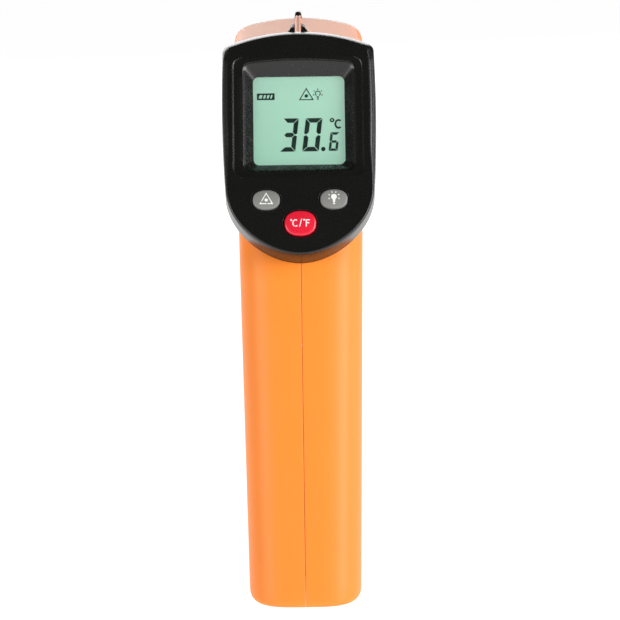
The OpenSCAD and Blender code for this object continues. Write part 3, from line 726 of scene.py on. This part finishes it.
def handle_levels(inset):
    """Heights of the handle's rings, with how far each is moved in to round the base."""
    levels = []
    for i in reversed(range(7)):
        z = inset + BASE_ROUND * (1 - math.sin(math.pi / 2 * i / 6))
        level = max(0, BASE_ROUND ** 2 - (BASE_ROUND - (z - inset)) ** 2)
        levels.append((z, BASE_ROUND - math.sqrt(level)))
    rows = 24
    low = BASE_ROUND + inset
    levels += [(low + (HANDLE_NECK - BASE_ROUND - inset) * i / rows, 0) for i in range(1, rows + 1)]
    levels += [(HANDLE_NECK + (HANDLE_TOP - HANDLE_NECK) * i / 6, 0) for i in range(1, 7)]
    return levels


def handle_solid(inset, outline_of, side=1, top=HANDLE_TOP):
    """Handle up to that height, or one side of it where outline_of gives half an outline."""
    rings = [
        [(side * x, y, z) for x, y in outline_of(handle_path(z, inset, corner))]
        for z, corner in handle_levels(inset) if z <= top
    ]
    return make("handle", *loft(rings))


def handle_below_neck(inset):
    return handle_solid(inset, lambda path: full(even(path, 44)), top=HANDLE_NECK)


def barrel_top_at(y):
    return BARREL_TOP - (BARREL_FRONT - y) * BARREL_RISE


def barrel_solid(inset, past, half_of, side):
    """Skin from the back of the bezel to the nose."""
    out = -BEZEL_DEPTH - 0.05 + past
    tall = (BARREL_TOP - BARREL_BOTTOM) / 2
    middle = (BARREL_TOP + BARREL_BOTTOM) / 2
    back = [Vector(on_face(x, up, out)) for x, up in half_of(half_bezel(BARREL_STEP + inset))]
    section = half_of(half_section(BARREL_HALF, tall, inset))
    front = [Vector((x, BARREL_FRONT + past, middle + v)) for x, v in section]
    rows = 16
    rings = []
    for i in range(rows + 1):
        ring = [p.lerp(q, i / rows) for p, q in zip(back, front)]
        rings.append([(side * p.x, p.y, p.z) for p in ring])
    return make("barrel", *loft(rings))


def top_ridge(side):
    """Half of the low ridge along the top seam."""
    rows = 10
    back, high = 28.5, 0.8
    section = [(SEAM_GAP, -2.5), (0.8, -2.5), (0.8, -0.3), (0.74, -0.1),
               (0.6, 0), (0.25, 0), (0.12, -0.06), (SEAM_GAP, -0.2)]
    rings = []
    for i in range(rows + 1):
        y = back + (BARREL_FRONT - back) * i / rows
        top = barrel_top_at(y) + high * min(1, (i + 0.4) / 1.4)
        rings.append([(side * x, y, top + v) for x, v in section])
    return make("ridge", *loft(rings))


def door_opening():
    """Cutters for the battery door's opening in the handle."""
    half = DOOR_HALF + MOVING_GAP
    y, z = DOOR_PIVOT
    return [
        block((-half, 9.5, 7), (half, 60, DOOR_TOP + MOVING_GAP), in_handle),
        bar_x(-half, half, y, z, DOOR_ROUND_R + MOVING_GAP),
        block((-half, y - 3.1, -1), (half, 60, z)),
    ]


def housing_half(name, side):
    shell = handle_solid(0, seamed, side)
    add(shell, barrel_solid(0, 0, seamed, side), top_ridge(side))
    cut(shell, handle_solid(WALL, plain_half, side), barrel_solid(WALL, 1, plain_half, side))
    for y, z, reach in SCREWS:
        low, high = sorted((side * SEAM_GAP, side * reach))
        add(shell, bar_x(low, high, y, z, BOSS_R))
    gap = TRIGGER_HALF + MOVING_GAP
    cut(shell, block((-gap, 24, 78), (gap, 46.6, PIVOT_Z - 0.4)), *door_opening())
    if side < 0:
        for y, z, _ in SCREWS:
            cut(shell, bar_x(-30, -9, y, z, SCREW_HEAD_R), bar_x(-12, 1, y, z, SCREW_R))
    finish_shading(shell, orange)
    shell.name = name
    return mounted(shell, "orange_shell", name)


def battery_door():
    door = handle_below_neck(0)
    cut(door, handle_below_neck(WALL))
    combine(door, block((-DOOR_HALF, 9.8, -3), (DOOR_HALF, 60, DOOR_TOP), in_handle), "INTERSECT")
    y, z = DOOR_PIVOT
    keep = bar_x(-40, 40, y, z, DOOR_ROUND_R)
    add(keep, block((-40, 0, z), (40, 60, 80)))
    combine(door, keep, "INTERSECT")
    for side in (-1, 1):
        inner, outer = sorted((side * (DOOR_HALF - 1.5), side * DOOR_HALF))
        add(door, bar_x(inner, outer, y, z, 2.4), block((inner, y, z - 2), (outer, 15.6, z + 2)))
    add(door, bar_x(-DOOR_HALF - 1.4, DOOR_HALF + 1.4, y, z, 1.1))
    for i in range(6):
        height = 51 + 2.2 * i
        half = 6.5 - 0.25 * abs(i - 2.5)
        cut(door, bar_x(-half, half, handle_front(height) + 0.3, height, 0.85, edge=0.6))
    finish_shading(door, door_plastic)
    door.name = "battery_door_cover"
    return mounted(door, "door_plastic", "battery_door", body="battery_door")


# ---------- bezel and screen ----------

def bezel_outline(inset, count=110):
    return full(even(half_bezel(inset), count))


def bezel_ring(out, inset, count=110):
    return [on_face(x, up, out) for x, up in bezel_outline(inset, count)]


def rounded_screen(half, corner, arch, shift=0.0):
    """Square outline with rounded corners and an arched top, as (x, up)."""
    steps = 8
    points = []
    for i in range(3 * steps + 1):
        t = i / (3 * steps)
        x = half - corner
        points.append((x - 2 * x * t, half + arch * (1 - (2 * t - 1) ** 2) + shift))
    for turn, cx, cy in ((90, -1, 1), (180, -1, -1), (270, 1, -1), (0, 1, 1)):
        for i in range(steps + 1 if turn else steps):
            a = math.radians(turn + 90 * i / steps)
            up = cy * (half - corner) + corner * math.sin(a) + shift
            points.append((cx * (half - corner) + corner * math.cos(a), up))
    return points


def face_cutter(levels):
    """Cutter from (outline, out) pairs, deepest first."""
    return make("cutter", *loft([[on_face(x, up, out) for x, up in outline] for outline, out in levels]))


def flare(outline_at, depth, radius, top):
    """Levels of a cutter whose mouth at top is rounded by radius; outline_at(grow) gives each outline."""
    levels = [(outline_at(0), -depth)]
    for i in range(6):
        a = math.radians(84) * i / 5
        levels.append((outline_at(radius * (1 - math.cos(a))), top - radius + radius * math.sin(a)))
    levels.append((outline_at(radius + 0.05), top + 2))
    return levels


def button_outline(size, grow):
    """Oval between an ellipse and a rounded box."""
    count, power = 96, 2 / BUTTON_POWER
    wide, tall = size[0] + grow, size[1] + grow
    turns = [math.tau * i / count for i in range(count)]
    return [(wide * signed_power(math.cos(a), power), tall * signed_power(math.sin(a), power)) for a in turns]


BUTTONS = {
    "laser_button": (-GREY_X, GREY_UP, GREY_BUTTON),
    "backlight_button": (GREY_X, GREY_UP, GREY_BUTTON),
    "unit_button": (0, RED_UP, RED_BUTTON),
}


def blend(t):
    """Smooth step from 0 to 1."""
    t = min(1, max(0, t))
    return t * t * (3 - 2 * t)


def round_edge(t, size):
    """Inset and drop of a rounded rim of that size, from the face, at 0, to the side wall, at 1."""
    a = math.pi / 2 * t
    return 0.25 + (size - 0.25) * (1 - math.sin(a) ** 0.9), -size * (1 - math.cos(a))


def rim_ring(t):
    """Ring of the rim from the face, at 0, to the side wall, at 1.

    The rim is round at the sides, tight at the lower corners, a flat chamfer along the top, and a
    deep curve under the chin.
    """
    at_side, at_corner = round_edge(t, BEZEL_EDGE), round_edge(t, CORNER_EDGE)
    at_top = (0.25 + 1.75 * (1 - t) ** 1.12, -3.0 * t ** 1.12)
    at_chin = (0.12 + 1.3 * (1 - t) ** 1.5, -CHIN_EDGE * t ** 3)
    rims = (at_side, at_corner, at_top, at_chin)
    outlines = [bezel_outline(inset) for inset, _ in rims]
    ring = []
    for (_, up), *points in zip(bezel_outline(0), *outlines):
        top, chin = blend((up - 17) / 5), blend((-28 - up) / 10)
        corner = blend((-6 - up) / 16) * (1 - chin)
        shares = (1 - top - corner - chin, corner, top, chin)
        ring.append(on_face(
            sum(point[0] * share for point, share in zip(points, shares)),
            sum(point[1] * share for point, share in zip(points, shares)),
            sum(drop * share for (_, drop), share in zip(rims, shares))))
    return ring


def panel_cutter():
    """Cutter for the shallow panel: it steps down at the sides, and runs out at the top and bottom."""
    half, high, middle = 18.0, 17.6, -0.3
    rings = []
    stations = 28
    for i in range(stations + 1):
        up = high * (2 * i / stations - 1)
        share = abs(up) / high
        narrow = 3.0 * (1 - math.sqrt(max(0, 1 - max(0, (abs(up) - high + 3.0) / 3.0) ** 2)))
        deep = PANEL_DEPTH * (1 - share ** 9) - 0.04 * share ** 9
        profile = [(0.5, 1), (0.22, 0.04), (0.08, -0.05 * deep), (-0.02, -0.35 * deep), (-0.12, -0.75 * deep),
                   (-0.3, -0.95 * deep), (-0.6, -deep)]
        right = [(half - narrow + x, out if out > 0 or deep > 0 else 0.04) for x, out in profile]
        left = [(-x, out) for x, out in reversed(right)]
        rings.append([on_face(middle + x, up + 0.1, out) for x, out in right + left])
    return make("panel", *loft(rings))


def button_hole(x, up, size):
    return face_cutter(flare(
        lambda grow: [(x + p, up + q) for p, q in button_outline(size, 0.25 + grow)], 5, 0.35, 0))


def display_bezel():
    rings = [rim_ring(i / 10) for i in range(11)]
    for out, inset in ((-7.9, 0.05), (-BEZEL_DEPTH + 0.25, 0.02), (-BEZEL_DEPTH, 0.2)):
        rings.append(bezel_ring(out, inset))
    bezel = make("display_bezel_cap", *loft(rings))
    hollow = [bezel_ring(out, 2.2, 80) for out in (-BEZEL_DEPTH - 1, -SCREEN_DEPTH)]
    cut(bezel, make("hollow", *loft(hollow)))
    for side in (-1, 1):
        add(bezel, sight_tooth(side))
    cut(bezel, panel_cutter())
    low = 0.35 - SCREEN_DEPTH
    top = -PANEL_DEPTH
    run = MOUTH_HALF - SCREEN_HALF
    mouth = [(rounded_screen(SCREEN_HALF, 1.6, 0), out) for out in (-SCREEN_DEPTH - 0.6, low)]
    for t in (0.25, 0.5, 0.75, 0.9):
        outline = rounded_screen(SCREEN_HALF + run * t, 1.6 + 0.4 * t, 0.8 * t, 0.25 * t)
        mouth.append((outline, low + (top - low) * t))
    for grow, out in ((0.06, top - 0.06), (0.2, top + 0.02), (0.5, top + 0.1), (0.6, 1)):
        mouth.append((rounded_screen(MOUTH_HALF + grow, 2.0 + grow, 0.8, 0.25), out))
    cut(bezel, face_cutter(mouth))
    cut(bezel, join("holes", [button_hole(*place) for place in BUTTONS.values()]))
    finish_shading(bezel, black, 32, even_out=True)
    return mounted(bezel, "black_shell", "display_bezel")


def sight_tooth(side):
    """One wedge of the rear sight: a glossy ramp that climbs towards the front, with softened edges."""
    base, top = OUTLINE_TOP - 1.2, OUTLINE_TOP
    levels = []
    shelves = ((-7.0, -0.12, 1), (-6.88, 0, 1), (-6.3, 0, 1), (-4.12, 0, 0.5), (-4.0, -0.12, 0.44))
    for out, grow, climb in shelves:
        outline = [
            (0.85, base), (3.15, base), (2.95, top + 0.1), (2.6, top + 0.9 * climb),
            (1.75, top + 2.85 * climb), (1.35, top + 3.1 * climb), (0.85, top + 3.1 * climb),
        ]
        middle = (1.9, top + 0.6)
        ring = []
        for x, up in outline:
            away = Vector((x - middle[0], up - middle[1])).normalized() * grow
            ring.append((side * (x + away.x), up + away.y))
        levels.append([on_face(x, up, out) for x, up in ring])
    return make("tooth", *loft(levels))


# ---------- line art: segments and icons ----------

def flat_shapes(name, shapes, surface, thick, paint):
    """Thin raised shapes. Each is a list of (x, up) outlines; surface(x, up, lift) gives points in space."""
    verts, faces = [], []
    for outline in shapes:
        start = len(verts)
        count = len(outline)
        verts += [surface(x, up, 0) for x, up in outline]
        verts += [surface(x, up, thick) for x, up in outline]
        faces.append(tuple(start + k for k in reversed(range(count))))
        faces.append(tuple(start + count + k for k in range(count)))
        for k in range(count):
            ahead = start + (k + 1) % count
            faces.append((start + k, ahead, ahead + count, start + count + k))
    return make(name, verts, faces, paint, sharp=30)


def stroke(points, width, closed=False):
    """Quads along a line of points, with mitred corners. Long runs are split, to follow a domed surface."""
    ends = points[1:] + points[:1] if closed else points[1:]
    fine = []
    for p, q in zip(points, ends):
        parts = max(1, math.ceil(math.dist(p, q) / 0.4))
        run = (q[0] - p[0], q[1] - p[1])
        fine += [(p[0] + run[0] * k / parts, p[1] + run[1] * k / parts) for k in range(parts)]
    points = fine if closed else fine + [points[-1]]
    count = len(points)
    left, right = [], []
    for i, p in enumerate(points):
        before = points[i - 1] if i or closed else None
        after = points[(i + 1) % count] if i < count - 1 or closed else None
        normals = []
        for a, b in ((before, p), (p, after)):
            if a is not None and b is not None:
                run = (Vector(b) - Vector(a)).normalized()
                normals.append(Vector((-run.y, run.x)))
        middle = sum(normals, Vector((0, 0))).normalized()
        reach = width / 2 / max(0.4, middle.dot(normals[0]))
        left.append(tuple(Vector(p) + middle * reach))
        right.append(tuple(Vector(p) - middle * reach))
    last = count if closed else count - 1
    return [[right[i], right[(i + 1) % count], left[(i + 1) % count], left[i]] for i in range(last)]


def arc(cx, cy, r, start, end, count, squash=1.0):
    turns = [math.radians(start + (end - start) * i / count) for i in range(count + 1)]
    return [(cx + r * squash * math.cos(a), cy + r * math.sin(a)) for a in turns]


def disc(cx, cy, r):
    return [arc(cx, cy, r, 0, 360, 20)[:-1]]


def moved(shapes, dx, dy, scale=1.0, lean=0.0):
    return [[(dx + scale * (x + lean * y), dy + scale * y) for x, y in shape] for shape in shapes]


def laser_sign(size, width):
    """Triangle round a starburst."""
    triangle = [(-size * 0.58, 0), (size * 0.58, 0), (0, size)]
    shapes = stroke(triangle, width, closed=True)
    burst = []
    for i in range(16):
        r = size * (0.2 if i % 2 else 0.12)
        burst.append((r * math.cos(math.tau * i / 16), size * 0.34 + r * math.sin(math.tau * i / 16)))
    return shapes + [burst]


def bulb_sign(size, width, filled):
    """Lamp with rays over it."""
    shapes = []
    glass = arc(0, size * 0.55, size * 0.22, -60, 240, 20)
    if filled:
        shapes.append(glass)
        neck = ((-0.12, 0.4), (-0.07, 0.12), (0.07, 0.12), (0.12, 0.4))
        shapes.append([(size * x, size * up) for x, up in neck])
    else:
        shapes += stroke(glass, width)
        shapes += stroke([(-size * 0.1, size * 0.22), (size * 0.1, size * 0.22)], width * 1.6)
    shapes += stroke([(-size * 0.08, size * 0.03), (size * 0.08, size * 0.03)], width * 1.3)
    for angle in range(-20, 201, 44 if filled else 55):
        a = math.radians(angle)
        ray = [(size * r * math.cos(a), size * (0.55 + r * math.sin(a))) for r in (0.33, 0.46)]
        shapes += stroke(ray, width)
    return shapes


def letter_c(cx, cy, tall, width):
    return stroke(arc(cx, cy, tall / 2 - width / 2, 50, 310, 14, squash=0.8), width)


def letter_f(cx, cy, tall, width):
    half = tall / 2
    top, middle = cy + half - width / 2, cy + half * 0.05
    lines = (
        [(cx, cy - half), (cx, cy + half)],
        [(cx, top), (cx + tall * 0.5, top)],
        [(cx, middle), (cx + tall * 0.42, middle)],
    )
    return [quad for line in lines for quad in stroke(line, width)]


def degree_c(x, up, tall, width):
    """Degree sign and a C, as generic unit marks."""
    degree = arc(x, up + tall * 0.38, tall * 0.15, 0, 337.5, 15)
    return stroke(degree, width * 0.8, closed=True) + letter_c(x + tall * 0.62, up, tall * 0.95, width)


SEGMENTS = {"3": "abgcd", "0": "abcdef", "6": "afgcde"}


def seven_segments(digit, wide, tall, bar):
    """Lit bars of a digit whose lower left corner is the origin."""
    half = tall / 2
    gap = bar * 0.1
    t = bar
    m = bar / 2
    shapes = {
        "a": [(gap, tall), (wide - gap, tall), (wide - t - gap, tall - t), (t + gap, tall - t)],
        "d": [(gap, 0), (t + gap, t), (wide - t - gap, t), (wide - gap, 0)],
        "g": [(m + gap, half), (t + gap, half + m), (wide - t - gap, half + m), (wide - m - gap, half),
              (wide - t - gap, half - m), (t + gap, half - m)],
        "f": [(0, tall - gap), (t, tall - t - gap), (t, half + m + gap), (m, half + gap),
              (0, half + m * 0.4 + gap)],
        "e": [(0, gap), (0, half - m * 0.4 - gap), (m, half - gap), (t, half - m - gap), (t, t + gap)],
    }
    shapes["b"] = [(wide - x, y) for x, y in shapes["f"]]
    shapes["c"] = [(wide - x, y) for x, y in shapes["e"]]
    return [shapes[key] for key in SEGMENTS[digit]]


def screen_marks():
    """What the screen shows beside its badge: a reading of 30.6, its unit and two status signs."""
    lean = 0.12
    marks = []
    marks += moved(seven_segments("3", 4.3, 9.5, 1.25), -5.5, -8.5, lean=lean)
    marks += moved(seven_segments("0", 4.6, 9.5, 1.25), 0.75, -8.5, lean=lean)
    marks += disc(6.6, -7.9, 0.62)
    marks += moved(seven_segments("6", 2.5, 5.3, 0.68), 8.05, -8.45, lean=lean)
    marks += degree_c(9.15, -0.75, 2.9, 0.5)
    marks += moved(laser_sign(3.2, 0.26), 2.1, 6.35)
    marks += moved(bulb_sign(3.1, 0.24, False), 5.3, 6.4)
    return marks


def screen_badge():
    """Dark badge with four slanted light bars."""
    low, high, start, end = 6.4, 8.3, -11.65, -6.75
    edge = 0.45
    bars = 4
    pitch = (end - start - 1.0) / bars
    inner_low, inner_high = low + edge, high - edge

    def slanted(x_low, wide_low, x_high, wide_high):
        at_foot = [(x_low, inner_low), (x_low + wide_low, inner_low)]
        return at_foot + [(x_high + wide_high, inner_high), (x_high, inner_high)]

    shapes = [
        [(start, inner_high), (end, inner_high), (end, high), (start, high)],
        [(start, low), (end, low), (end, inner_low), (start, inner_low)],
        slanted(start, 0.5, start, 0.75),
        slanted(end - 0.75, 0.75, end - 0.5, 0.5),
    ]
    for i in range(1, bars):
        x = start + 0.5 + pitch * i - 0.15
        shapes.append(slanted(x, 0.4, x + 0.25, 0.4))
    return shapes


def screen_art():
    surface = lambda x, up, lift: on_face(x, up, GLASS_FRONT + 0.03 + lift)
    art = flat_shapes("lcd_segments", screen_marks() + screen_badge(), surface, 0.05, segment_ink)
    mounted(art, "display_glass")


# ---------- buttons ----------

def button_top(size, x, up):
    """Height of a button's domed top at a point measured from its middle."""
    inner = (size[0] - BUTTON_SHOULDER, size[1] - BUTTON_SHOULDER)
    share = (abs(x) / inner[0]) ** BUTTON_POWER + (abs(up) / inner[1]) ** BUTTON_POWER
    return BUTTON_PROUD - 0.22 * min(share, 1.4)


def push_button(name, paint, slot_name):
    cx, cup, size = BUTTONS[name]
    rings = []

    def ring(grow, out):
        rings.append([on_face(cx + x, cup + up, out) for x, up in button_outline(size, grow)])

    ring(1, -3.3)
    ring(1, -2.5)
    ring(0, -2.5)
    ring(0, 0.42)
    for i in range(1, 7):
        a = math.pi / 2 * i / 6
        ring(-BUTTON_SHOULDER * (1 - math.cos(a)), 0.42 + 0.56 * math.sin(a))
    for share in (0.92, 0.8, 0.65, 0.5, 0.35, 0.2, 0.08):
        outline = button_outline(size, -BUTTON_SHOULDER)
        rings.append([
            on_face(cx + share * x, cup + share * up, button_top(size, share * x, share * up))
            for x, up in outline
        ])
    cap = make(name + "_cap", *loft(rings), paint, sharp=50)
    place = lambda a, b, along: on_face(cx + a, cup + b, along)
    stem = lathe(rod(1.4, -6.3, -3.2, 0.15), place, paint, count=32)
    join(name + "_cap", [cap, stem])
    mounted(cap, slot_name, name, body=name)
    surface = lambda x, up, lift: on_face(cx + x, cup + up, button_top(size, x, up) - 0.02 + lift)
    return surface


def printed(name, shapes, surface, ink, body):
    """Pad-printed sign on a button's top."""
    art = flat_shapes(name, shapes, surface, 0.045, ink)
    mounted(art, "red_button" if body == "unit_button" else "grey_button", body=body)


def buttons():
    laser_top = push_button("laser_button", grey_rubber, "grey_button")
    lamp_top = push_button("backlight_button", grey_rubber, "grey_button")
    unit_top = push_button("unit_button", red_rubber, "red_button")
    printed("laser_sign", moved(laser_sign(2.9, 0.26), 0, -1.2), laser_top, pale_ink, "laser_button")
    printed("lamp_sign", moved(bulb_sign(3.6, 0.26, True), 0, -1.5), lamp_top, pale_ink, "backlight_button")
    width = 0.3
    marks = letter_c(-1.35, -0.1, 2.1, width) + letter_f(1.6, -0.1, 2.0, width)
    marks += stroke([(-0.25, -1.15), (0.35, 1.05)], width * 0.8)
    marks += disc(-2.5, 0.75, 0.28) + disc(1.0, 0.8, 0.26)
    printed("unit_sign", marks, unit_top, pale_ink, "unit_button")


# ---------- nose, lens and laser ----------

def nose_section(ahead):
    """Half width, underside and top of the nose at a distance in front of the barrel."""
    start = 11.0
    if ahead <= start:
        t = ahead / start
        return BARREL_HALF - 1.15 * t, BARREL_BOTTOM + 1.45 * t, BARREL_TOP - 1.15 * t
    left = math.sqrt(max(0, 1 - ((ahead - start) / (NOSE_LENGTH - start)) ** 2))
    return 15 + 2.45 * left, 115 - 2.55 * left, 150.2 + 2.55 * left


def nose_ring(ahead, inset):
    half, low, high = nose_section(ahead)
    return [
        (x, BARREL_FRONT + ahead, (low + high) / 2 + v)
        for x, v in full(even(half_section(half, (high - low) / 2, inset), 70))
    ]


def nose():
    rings = [nose_ring(0.1, 0.3), nose_ring(0.16, 0.12), nose_ring(0.35, 0)]
    rings += [nose_ring(11.0 * i / 6, 0) for i in range(1, 7)]
    rings += [nose_ring(11 + 6 * math.sin(math.pi / 2 * i / 9), 0) for i in range(1, 10)]
    body = make("nose_shell", *loft(rings))
    steps = 8
    stair = [(CONE_BOTTOM_R, BARREL_FRONT - 1), (CONE_BOTTOM_R, CONE_START)]
    run = (BARREL_FRONT + NOSE_LENGTH - 0.6 - CONE_START) / steps
    rise = (CONE_MOUTH_R - 0.3 - CONE_BOTTOM_R) / steps
    for i in range(steps):
        start = CONE_START + run * i
        r = CONE_BOTTOM_R + rise * (i + 1)
        stair += [(r - 0.12, start), (r, start + run * 0.85)]
    tip = BARREL_FRONT + NOSE_LENGTH
    for grow, ahead in ((-0.1, -0.35), (0.15, -0.1), (0.5, 0), (0.5, 1)):
        stair.append((CONE_MOUTH_R + grow, tip + ahead))
    hole = [(3.3, BARREL_FRONT - 1), (3.3, tip - 2), (2.2, tip - 2), (2.2, tip - 0.35),
            (2.3, tip - 0.12), (2.55, tip), (2.55, tip + 1)]
    cut(body, lathe(stair, along_y(LENS_Z), count=96), lathe(hole, along_y(LASER_Z), count=64))
    add(body, front_sight())
    finish_shading(body, black, 32)
    return mounted(body, "black_shell", "nose")


def front_sight():
    """Peaked post on top of the nose."""
    right = [(1.3, 151.0), (0.95, 154), (0.75, 154.7), (0.4, 155)]
    outline = [(-1.3, 151.0)] + right + [(-x, z) for x, z in reversed(right[1:])]
    rings = []
    for y, pinch in ((73, 0.9), (73.15, 0.97), (73.4, 1), (76.6, 1), (76.85, 0.97), (77, 0.9)):
        rings.append([(x * pinch, y, 151 + (z - 151) * (0.5 + pinch / 2)) for x, z in outline])
    return make("post", *loft(rings))


def fine_lens():
    """Coated lens with a bevelled rim."""
    bulge = 1.1
    radius = (36 + bulge * bulge) / (2 * bulge)
    profile = [(0.01, 62), (5.8, 62), (6, 62.2), (6, 63.25)]
    for i in range(1, 13):
        r = 6 * (1 - i / 12) + 0.01
        profile.append((r, 63.4 + math.sqrt(radius ** 2 - r * r) - (radius - bulge)))
    lens = lathe(profile, along_y(LENS_Z), infrared_glass, count=96, name="lens")
    return mounted(lens, "infrared_glass", "infrared_lens")


# ---------- trigger ----------

def trigger_front(t):
    """Y of the trigger's hollowed front, from its top, at 0, to its tip, at 1."""
    return 46 - 7.6 * t - 2.6 * math.sin(math.pi * t ** 0.8)


def trigger_profile():
    """Side outline of the trigger, as (y, z)."""
    top, tip = PIVOT_Z - 1, 80.0
    points = []
    for i in range(41):
        t = i / 40
        points.append((trigger_front(t), top + (tip - top) * t))
    for i in range(1, 8):
        a = -math.pi / 2 * i / 7
        points.append((36.9 + 1.5 * math.cos(a), tip + 1.5 * math.sin(a)))
    back = [(36.9, 78.5), (31.6, 78.5), (30.2, 80.5), (34.4, 106), (37.6, 112), (46, 112)]
    for start, end, count in zip(back, back[1:], (4, 3, 20, 6, 6)):
        for i in range(1, count + 1):
            t = i / count
            points.append((start[0] + (end[0] - start[0]) * t, start[1] + (end[1] - start[1]) * t))
    return points[:-1]


def shrunk(points, inset):
    """Closed outline moved in along its normals."""
    count = len(points)
    area = sum(p[0] * q[1] - q[0] * p[1] for p, q in zip(points, points[1:] + points[:1]))
    turn = 1 if area > 0 else -1
    moved_in = []
    for i in range(count):
        before, after = Vector(points[i - 1]), Vector(points[(i + 1) % count])
        run = (after - before).normalized()
        moved_in.append((points[i][0] - turn * run.y * inset, points[i][1] + turn * run.x * inset))
    return moved_in


def trigger():
    outline = trigger_profile()
    rounding = 1.3
    rings = []
    for side in (-1, 1):
        steps = range(7) if side < 0 else range(6, -1, -1)
        for i in steps:
            a = math.pi / 2 * i / 6
            x = side * (TRIGGER_HALF - rounding + rounding * math.cos(a))
            rings.append([(x, y, z) for y, z in shrunk(outline, rounding * (1 - math.sin(a)))])
    body = make("trigger_lever", *loft(rings))
    add(body, bar_x(-TRIGGER_HALF, TRIGGER_HALF, PIVOT_Y, PIVOT_Z, 3.8, edge=0.5))
    add(body, block((-2.6, 27.2, ARM_TOP - 3.2), (2.6, PIVOT_Y, ARM_TOP)))
    add(body, bar_x(-8.6, 8.6, PIVOT_Y, PIVOT_Z, 2, edge=0.3))
    for i in range(5):
        t = 0.36 + 0.085 * i
        cut(body, bar_x(-4.2, 4.2, trigger_front(t) + 0.32, PIVOT_Z - 1 - 32 * t, 0.6, edge=0.5))
    finish_shading(body, trigger_plastic, 36)
    return mounted(body, "trigger_plastic", "trigger", body="trigger")


def coil_path(r_low, r_high, height, turns, wire):
    steps = int(turns * 28)
    points = []
    for i in range(steps + 1):
        t = i / steps
        a = math.tau * turns * t
        r = r_low + (r_high - r_low) * t
        points.append((r * math.cos(a), r * math.sin(a), wire + (height - 2 * wire) * t))
    return points


# ---------- battery bay ----------

def cell(name, side):
    """Round cell: printed jacket, crimped ends and a nub. The right one stands the other way up."""
    x = side * CELL_X
    if side < 0:
        place = lambda a, b, along: in_handle(x + a, CELL_Y + b, CELL_LOW + along)
    else:
        place = lambda a, b, along: in_handle(x + a, CELL_Y + b, BAY_LOW + CELL_LENGTH - along)
    r, body_end = CELL_R, CELL_LENGTH - 0.9
    jacket = lathe(
        [(r - 0.9, 0.12), (r - 0.25, 0.12), (r - 0.06, 0.25), (r, 0.55), (r, body_end - 0.75),
         (r - 0.06, body_end - 0.4), (r - 0.3, body_end - 0.2), (r - 0.8, body_end - 0.2)],
        place, upright_jacket if side < 0 else turned_jacket, count=80)
    can = lathe(
        [(0.01, 0.02), (r - 1.6, 0.02), (r - 1.3, 0.1), (r - 0.85, 0.14), (r - 0.85, body_end - 0.22),
         (r - 1.0, body_end - 0.1), (2.6, body_end - 0.1), (2.3, body_end - 0.3), (1.95, body_end - 0.3),
         (1.9, CELL_LENGTH - 0.25), (1.7, CELL_LENGTH - 0.03), (0.01, CELL_LENGTH)],
        place, cell_metal, count=80)
    shown = join(name + "_cell", [jacket, can])
    return mounted(shown, "cell_jacket", name)


def battery_contacts():
    wire = 0.3
    coil = coil_path(3.6, 2, 3.3, 3.5, wire)
    at_left = [in_handle(x - CELL_X, CELL_Y + y, BAY_LOW + z) for x, y, z in coil]
    at_right = [in_handle(x + CELL_X, CELL_Y + y, BAY_TOP - 0.4 - z) for x, y, z in coil]
    coils = [tube(path, wire, spring_steel) for path in (at_left, at_right)]
    springs = join("battery_contact_springs", coils)
    mounted(springs, "spring_steel", "battery_springs")


def trigger_return_spring():
    wire = 0.25
    coil = coil_path(1.9, 1.9, SPRING_TOP - ARM_TOP, 5, wire)
    path = [(x, SPRING_Y + y, ARM_TOP + z) for x, y, z in coil]
    spring = tube(path, wire, spring_steel, name="return_spring")
    mounted(spring, "spring_steel", "trigger_spring")
    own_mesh(spring)


# ---------- build ----------

def keep_cad(paint, *node_names):
    """CAD nodes whose shape is right get their material."""
    for name in node_names:
        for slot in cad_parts[name].material_slots:
            slot.material = paint


housing_half("housing_left", -1)
housing_half("housing_right", 1)
display_bezel()
screen_art()
buttons()
nose()
fine_lens()
trigger()
battery_door()
cell("battery_cell_left", -1)
cell("battery_cell_right", 1)
battery_contacts()
trigger_return_spring()
keep_cad(clear_window, "display_window")
keep_cad(dark_rubber, "window_gasket", "lens_seal")
keep_cad(display_glass, "lcd_panel")
keep_cad(light_guide, "lcd_backlight", "backlight_leds")
keep_cad(white_plastic, "lcd_frame")
keep_cad(elastomer, "zebra_connector")
keep_cad(circuit_board, "main_board", "sensor_board", "laser_board", "trigger_board")
keep_cad(chip, "board_chips")
keep_cad(steel, "board_screws", "housing_screws", "thermopile_sensor")
keep_cad(switch_plastic, "laser_switch", "backlight_switch", "unit_switch", "trigger_switch")
keep_cad(plunger_plastic, "laser_plunger", "backlight_plunger", "unit_plunger", "trigger_plunger")
keep_cad(tube_metal, "lens_tube", "lens_retainer")
keep_cad(brass, "laser_module")
keep_cad(red_glass, "laser_window")
keep_cad(tray_plastic, "battery_tray")
keep_cad(spring_steel, "battery_plates")
keep_cad(wire_cover, "battery_leads", "laser_leads")
keep_cad(pale_wire, "sensor_leads")
keep_cad(yellow_wire, "trigger_leads")
